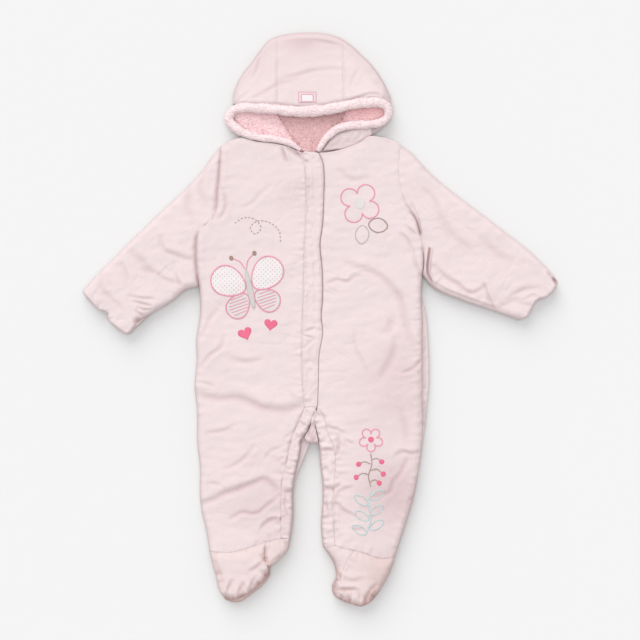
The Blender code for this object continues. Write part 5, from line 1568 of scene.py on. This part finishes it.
# %% Cords of thread along lines, and patches of satin stitch
def cords(name, lines, width, surface, material, rise=0.5):
    """Embroidered lines: centre = (p, surface(p)); section = side·w·cos(a) + up·rise·sin(a), 6 points.

    Every line is read at the same 0.8 mm step; an open line narrows to a point over its last two
    steps, and a closed one runs on into its start. The UV map is run and girth in millimetres.
    """
    angle = np.arange(6) * np.pi / 3
    points, faces, uvs, first = [], [], [], 0
    for line in lines:
        line = np.asarray(line, float)
        closed = np.linalg.norm(line[0] - line[-1]) < 0.01
        way = run_length(line)
        count = max(6, round(way[-1] / 0.8))
        at = np.linspace(0, way[-1], count, endpoint=not closed)
        centre = read_at(line, at)
        ahead = np.roll(centre, -1, axis=0) - np.roll(centre, 1, axis=0) if closed else np.gradient(centre, axis=0)
        side = to_left(ahead)
        to_end = np.minimum(np.arange(count), np.arange(count)[::-1])
        ends = np.ones(count) if closed else np.clip((0.35 + to_end) / 2, 0, 1)
        reach = (width / 2 * ends)[:, None] * np.cos(angle)
        flat = centre[:, None] + reach[..., None] * side[:, None]
        high = surface(centre)[:, None] + 0.12 + (rise * ends)[:, None] * np.sin(angle)
        points.append(np.dstack([flat, high]).reshape(-1, 3))
        uvs.append(np.dstack(np.broadcast_arrays(at[:, None], width * angle[None, :] / 2)).reshape(-1, 2))
        number, skin = ring_cells(count, 6, first)
        start, end = number[0], number[-1]
        if closed:
            closing = np.stack([end, start, np.roll(start, -1), np.roll(end, -1)], -1)
        else:
            closing = np.array([start[[0, 1, 2, 3]], start[[0, 3, 4, 5]], end[[3, 2, 1, 0]], end[[5, 4, 3, 0]]])
        faces += [skin, closing]
        first += count * 6
    piece = add_piece(name, np.vstack(points), np.vstack(faces), material, np.zeros(first), np.vstack(uvs))
    print(name, len(lines), "lines,", len(piece.data.polygons), "faces")


def turned(x, y, degrees, centre):
    """Points turned by degrees about the origin and moved to centre."""
    a = np.radians(degrees)
    return np.asarray(centre) + np.stack([x * np.cos(a) - y * np.sin(a), x * np.sin(a) + y * np.cos(a)], -1)


def egg(centre, long, wide, turn, blunt=0.0):
    """Closed egg: (long·cos t, wide·sin t·(1 + blunt·cos t)), turned by turn degrees about its centre."""
    t = np.linspace(0, 2 * np.pi, 81)
    return turned(long * np.cos(t), wide * np.sin(t) * (1 + blunt * np.cos(t)), turn, centre)


def heart(centre, size, turn):
    """Closed heart: x = sin³t, y = (13·cos t - 5·cos 2t - 2·cos 3t - cos 4t)/16, times size, turned."""
    t = np.linspace(0, 2 * np.pi, 81) + np.pi / 4
    y = size * (13 * np.cos(t) - 5 * np.cos(2 * t) - 2 * np.cos(3 * t) - np.cos(4 * t)) / 16
    return turned(size * np.sin(t) ** 3, y, turn, centre)


def satin(name, outline, surface, material, rise):
    """Raised patch inside a closed outline of 81 points: its four quarters are the sides of a plan grid."""
    outline = outline[:-1]
    top, right, bottom, left = outline[0:21], outline[20:41], outline[40:61], np.roll(outline, -60, axis=0)[:21]
    plan = patch(left[::-1], right, np.linspace(0, 1, 21), top=top, bottom=bottom[::-1])
    full = swell(plan, [(around(plan), (1.2, 0.3))])
    high = surface(plan) + rise * full
    # Painted shade along the patch's rounded edge.
    slab(name, plan, surface(plan) - 0.5, high, material, "patch", 0.6 * (1 - full))


print("heart points:", len(heart((0, 0), 1.0, 0)))

# %% The label itself
label_plan = patch(course([(-26.6, 277.2), (-26.2, 263.6)], np.linspace(0, 1, 14)),
                   course([(-4.8, 276.6), (-4.4, 263.2)], np.linspace(0, 1, 14)), np.linspace(0, 1, 22))
cut_piece("hood_label", label_plan, hood_top(label_plan) + 0.05, hood_top(label_plan) + 0.45, ROSE_COTTON,
          slot="patch", marks=0.25 * np.abs(waves(label_plan, 4, 201)))


def four_sided(left, right, top, bottom):
    """Closed outline of a small rectangle, 81 points from its upper left corner, clockwise."""
    corners = np.array([(left, top), (right, top), (right, bottom), (left, bottom), (left, top)], float)
    return np.stack([np.interp(np.linspace(0, 4, 81), np.arange(5), corners[:, axis]) for axis in range(2)], -1)


satin("label_square", four_sided(-22.4, -8.4, 273.2, 264.6), lambda p: hood_top(p) + 0.45, WHITE_COTTON, 0.2)
cords("hood_label_border", [four_sided(-26.1, -4.9, 276.4, 263.7)], 0.9, lambda p: hood_top(p) + 0.4, THREAD_ROSE,
      rise=0.25)
cords("label_square_border", [four_sided(-22.6, -8.2, 273.4, 264.4)], 0.7, lambda p: hood_top(p) + 0.6, THREAD_PINK,
      rise=0.2)

# %% [markdown]
# ## Embroidered motifs
# The front carries embroidery: outlines in a pink chain of satin stitch, small filled patches, and
# appliqué pieces of dotted cotton. A butterfly with a dashed flight line stands on the wearer's right,
# a four-petalled flower with two leaves on the left chest, and a sprig on the left leg. Each outline is
# a formula in the plan, and a thread cord follows it at the height of the cloth below.

# %% The flower and its two leaves on the left chest
FLOWER_AT = np.array([48.4, 141.2])


def petals(centre, inner, outer, number_of_petals, turn):
    """Closed flower: r = inner + (outer - inner)·|sin(n(t - turn)/2)|^0.55."""
    t = np.linspace(0, 2 * np.pi, 241)
    reach = inner + (outer - inner) * np.abs(np.sin(number_of_petals * (t - np.radians(turn)) / 2)) ** 0.55
    return np.asarray(centre) + reach[:, None] * np.stack([np.cos(t), np.sin(t)], -1)


def leaf(centre, long, wide, turn):
    """Closed leaf with two pointed ends: (long·cos t, wide·sin t·|sin t|^0.3), turned."""
    t = np.linspace(0, 2 * np.pi, 81)
    return turned(long * np.cos(t), wide * np.sin(t) * np.abs(np.sin(t)) ** 0.3, turn, centre)


cords("flower_outline", [petals(FLOWER_AT, 10.5, 25.0, 4, 14)], 1.5, left_front_top, THREAD_PINK)
satin("flower_middle", egg(FLOWER_AT, 6.8, 6.6, 20), left_front_top, SATIN_GREY, 0.35)
cords("flower_leaf_taupe", [leaf((70.6, 114.6), 11.6, 8.6, -8)], 1.5, left_front_top, THREAD_TAUPE)
cords("flower_leaf_grey", [leaf((51.2, 103.4), 11.2, 8.2, 84)], 1.4, left_front_top, THREAD_GREY)

# %% The butterfly on the wearer's right
BUTTERFLY_AT, BUTTERFLY_TURN = np.array([-85.0, 36.0]), 12.0


def on_butterfly(points):
    """Points of the upright butterfly, turned by its tilt and moved to its place."""
    points = np.asarray(points, float)
    return turned(points[..., 0], points[..., 1], BUTTERFLY_TURN, BUTTERFLY_AT)


UPPER_WINGS = [egg((side * 23.5, 15.0), 22.0, 17.5, 90 - side * 52, 0.22) for side in (1, -1)]
LOWER_WINGS = [egg((side * 17.5, -15.5), 16.5, 13.0, 90 - side * 132, 0.25) for side in (1, -1)]
for part, wings, cloth, rise in (("upper", UPPER_WINGS, DOTTED_COTTON, 0.45),
                                 ("lower", LOWER_WINGS, SATIN_GREY, 0.3)):
    for side_name, wing in zip(("left", "right"), wings):
        satin(f"butterfly_{part}_wing_{side_name}", on_butterfly(wing), right_front_top, cloth, rise)
cords("butterfly_wing_outlines", [on_butterfly(wing) for wing in UPPER_WINGS + LOWER_WINGS], 1.5,
      lambda p: right_front_top(p) + 0.25, THREAD_PINK)
satin("butterfly_body", on_butterfly(egg((0, 2), 25, 3.4, 90, -0.25)), lambda p: right_front_top(p) + 0.5,
      BODY_GREY, 0.8)
feelers = [course([(side, 26), (side * 5, 36), (side * 13, 42)], np.linspace(0, 1, 16)) for side in (1, -1)]
cords("butterfly_feelers", [on_butterfly(line) for line in feelers], 1.3, right_front_top, THREAD_PINK)
for side_name, side in (("left", 1), ("right", -1)):
    tip = egg((side * 14.4, 42.6), 2.6, 3.1, 10)
    satin(f"butterfly_feeler_tip_{side_name}", on_butterfly(tip), right_front_top, SATIN_TAUPE, 0.5)
stripes = []
for wing_side in (1, -1):
    for across_wing in np.linspace(-9.5, 9.5, 6):
        half = 12.4 * np.sqrt(1 - (across_wing / 13.2) ** 2)
        middle = np.array([wing_side * 17.5, -15.5 + across_wing])
        stripes.append(on_butterfly(middle + np.array([(-half, -1.4), (half, 1.4)])))
cords("butterfly_stripes", stripes, 0.95, lambda p: right_front_top(p) + 0.25, THREAD_PINK, rise=0.4)
for label_name, at, size, tilt in (("first", (-91.0, -17.0), 8.6, 22), ("second", (-60.0, -6.0), 8.0, -8)):
    satin(f"small_heart_{label_name}", heart(at, size, tilt), right_front_top, SATIN_PINK, 0.6)

# %% The dashed flight line
flight = course(xy("-104 117  -92 124  -78 121  -72 111  -79 104  -85 111  -78 119  -62 118  "
                   "-50 108  -48 94"), np.linspace(0, 1, 240))
DASH, DASH_PITCH = 3.0, 4.6
dashes = [read_at(flight, start + np.linspace(0, DASH, 5))
          for start in np.arange(0, run_length(flight)[-1] - DASH, DASH_PITCH)]
cords("flight_line", dashes, 1.25, right_front_top, THREAD_TAUPE)

# %% The sprig on the left leg
SPRIG_AT = np.array([60.0, -200.0])
cords("sprig_flower_outline", [petals(SPRIG_AT + (2, 54), 6.4, 14.5, 5, 18)], 1.4, left_front_top, THREAD_PINK)
satin("sprig_flower_middle", egg(SPRIG_AT + (2, 54), 3.6, 3.5, 0), left_front_top, SATIN_PINK, 0.5)
stem = course(SPRIG_AT + xy("1.5 38  3 24  -1 10  2 -4"), np.linspace(0, 1, 40))
twigs = [course(SPRIG_AT + np.array(way), np.linspace(0, 1, 20)) for way in (
    xy("2.4 29  9 31  15 27"), xy("1.8 24  -6 27  -13 24"), xy("0.4 16  8 18  17 12"),
    xy("-0.4 11  -8 13  -16 8"), xy("0.6 2  7 5  12 1"))]
cords("sprig_stems", [stem, *twigs], 1.2, left_front_top, THREAD_TAUPE)
for number_of_berry, twig in enumerate(twigs):
    satin(f"sprig_berry_{number_of_berry + 1}", egg(twig[-1], 3.3, 3.0, 30 * number_of_berry), left_front_top,
          SATIN_PINK, 0.6)
lower_stem = course(SPRIG_AT + xy("2 -8  -1 -24  2 -42  -4 -62"), np.linspace(0, 1, 40))
leaves = [leaf(SPRIG_AT + np.array(at), 9.5, 4.6, tilt) for at, tilt in (
    ((10, -14), 35), ((-10, -20), 145), ((9, -32), 30), ((-9, -39), 150), ((9, -50), 32), ((-12, -56), 150))]
cords("sprig_leaves", [lower_stem, *leaves], 1.3, left_front_top, THREAD_AQUA)

# %% [markdown]
# ## Stitching
# Lockstitch lines hold the seams: along the front band, beside the hood seams and at the ankles, and
# an overlocked ladder closes the left side seam. Each stitch is a short closed peg of thread that lies
# on the cloth, and all stitches of a line are made as whole arrays.


# %% Stitches along lines
def stitch_row(name, rows_of_stitches, surface, length=2.4, pitch=3.2, width=0.36):
    """Pegs that lie along each line: centre = start + t·(end - start), at the height of the cloth + 0.15."""
    starts, ends = [], []
    for line in rows_of_stitches:
        at = np.arange(0.5, run_length(line)[-1] - length, pitch)
        starts.append(read_at(line, at))
        ends.append(read_at(line, at + length))
    start, end = np.vstack(starts), np.vstack(ends)
    share = np.array([0.0, 0.2, 0.8, 1.0])
    flat = start[:, None] + share[None, :, None] * (end - start)[:, None]
    high = surface(flat) + np.array([-0.12, 0.16, 0.16, -0.12])[None, :]
    first = np.column_stack([to_left(end - start), np.zeros(len(start))])
    second = np.tile([0.0, 0.0, 1.0], (len(start), 1))
    girth = width * np.broadcast_to([0.4, 1.0, 1.0, 0.4], (len(start), 4))
    # Painted shade at both ends of each stitch, where it sinks into the cloth.
    pegs(name, np.dstack([flat, high]), girth, first, second, THREAD_SHELL, [0.3, 0.0, 0.0, 0.3])


def beside(line, offset):
    """The same line moved sideways by offset millimetres, to its left."""
    return line + offset * to_left(np.gradient(line, axis=0))


stitch_row("band_stitches", [beside(stitched_line, 1.3), beside(free_line, -3.4)], band_top)
stitch_row("front_right_stitches", [beside(stitched_line, -1.3)[2:], beside(right_plan[-1], 2.0)[4:-4]],
           right_front_top)
stitch_row("front_left_stitches", [beside(main_left[-1], 2.0)[4:-4], beside(main_left[0], -2.0)[4:-4]],
           left_front_top)
hood_seam_lines = [course(line[:-1], np.linspace(0.44, 1, 60)) for line in (SEAM_HOOD_RIGHT, SEAM_HOOD_LEFT)]
stitch_row("hood_stitches", [beside(line, offset) for line in hood_seam_lines for offset in (-1.5, 1.5)], hood_top)
LADDER_TOP, LADDER_END, LADDER_PITCH = -20.0, -130.0, 2.1
ladder_y = np.arange(LADDER_TOP, LADDER_END, -LADDER_PITCH)
ladder_x = np.interp(-ladder_y, -outer_left[:, 1], outer_left[:, 0])
ladder = [np.array([(x + 0.6, y), (x + 6.0, y - 0.4)]) for x, y in zip(ladder_x, ladder_y)]
stitch_row("side_ladder_stitches", ladder, lambda p: np.full(np.shape(p)[:-1], BACK_WALL - 0.3), 4.0, 50, 0.42)

for node_name, solid in frame["nodes"].items():
    if not solid.hide_render:
        print("still shown:", node_name)
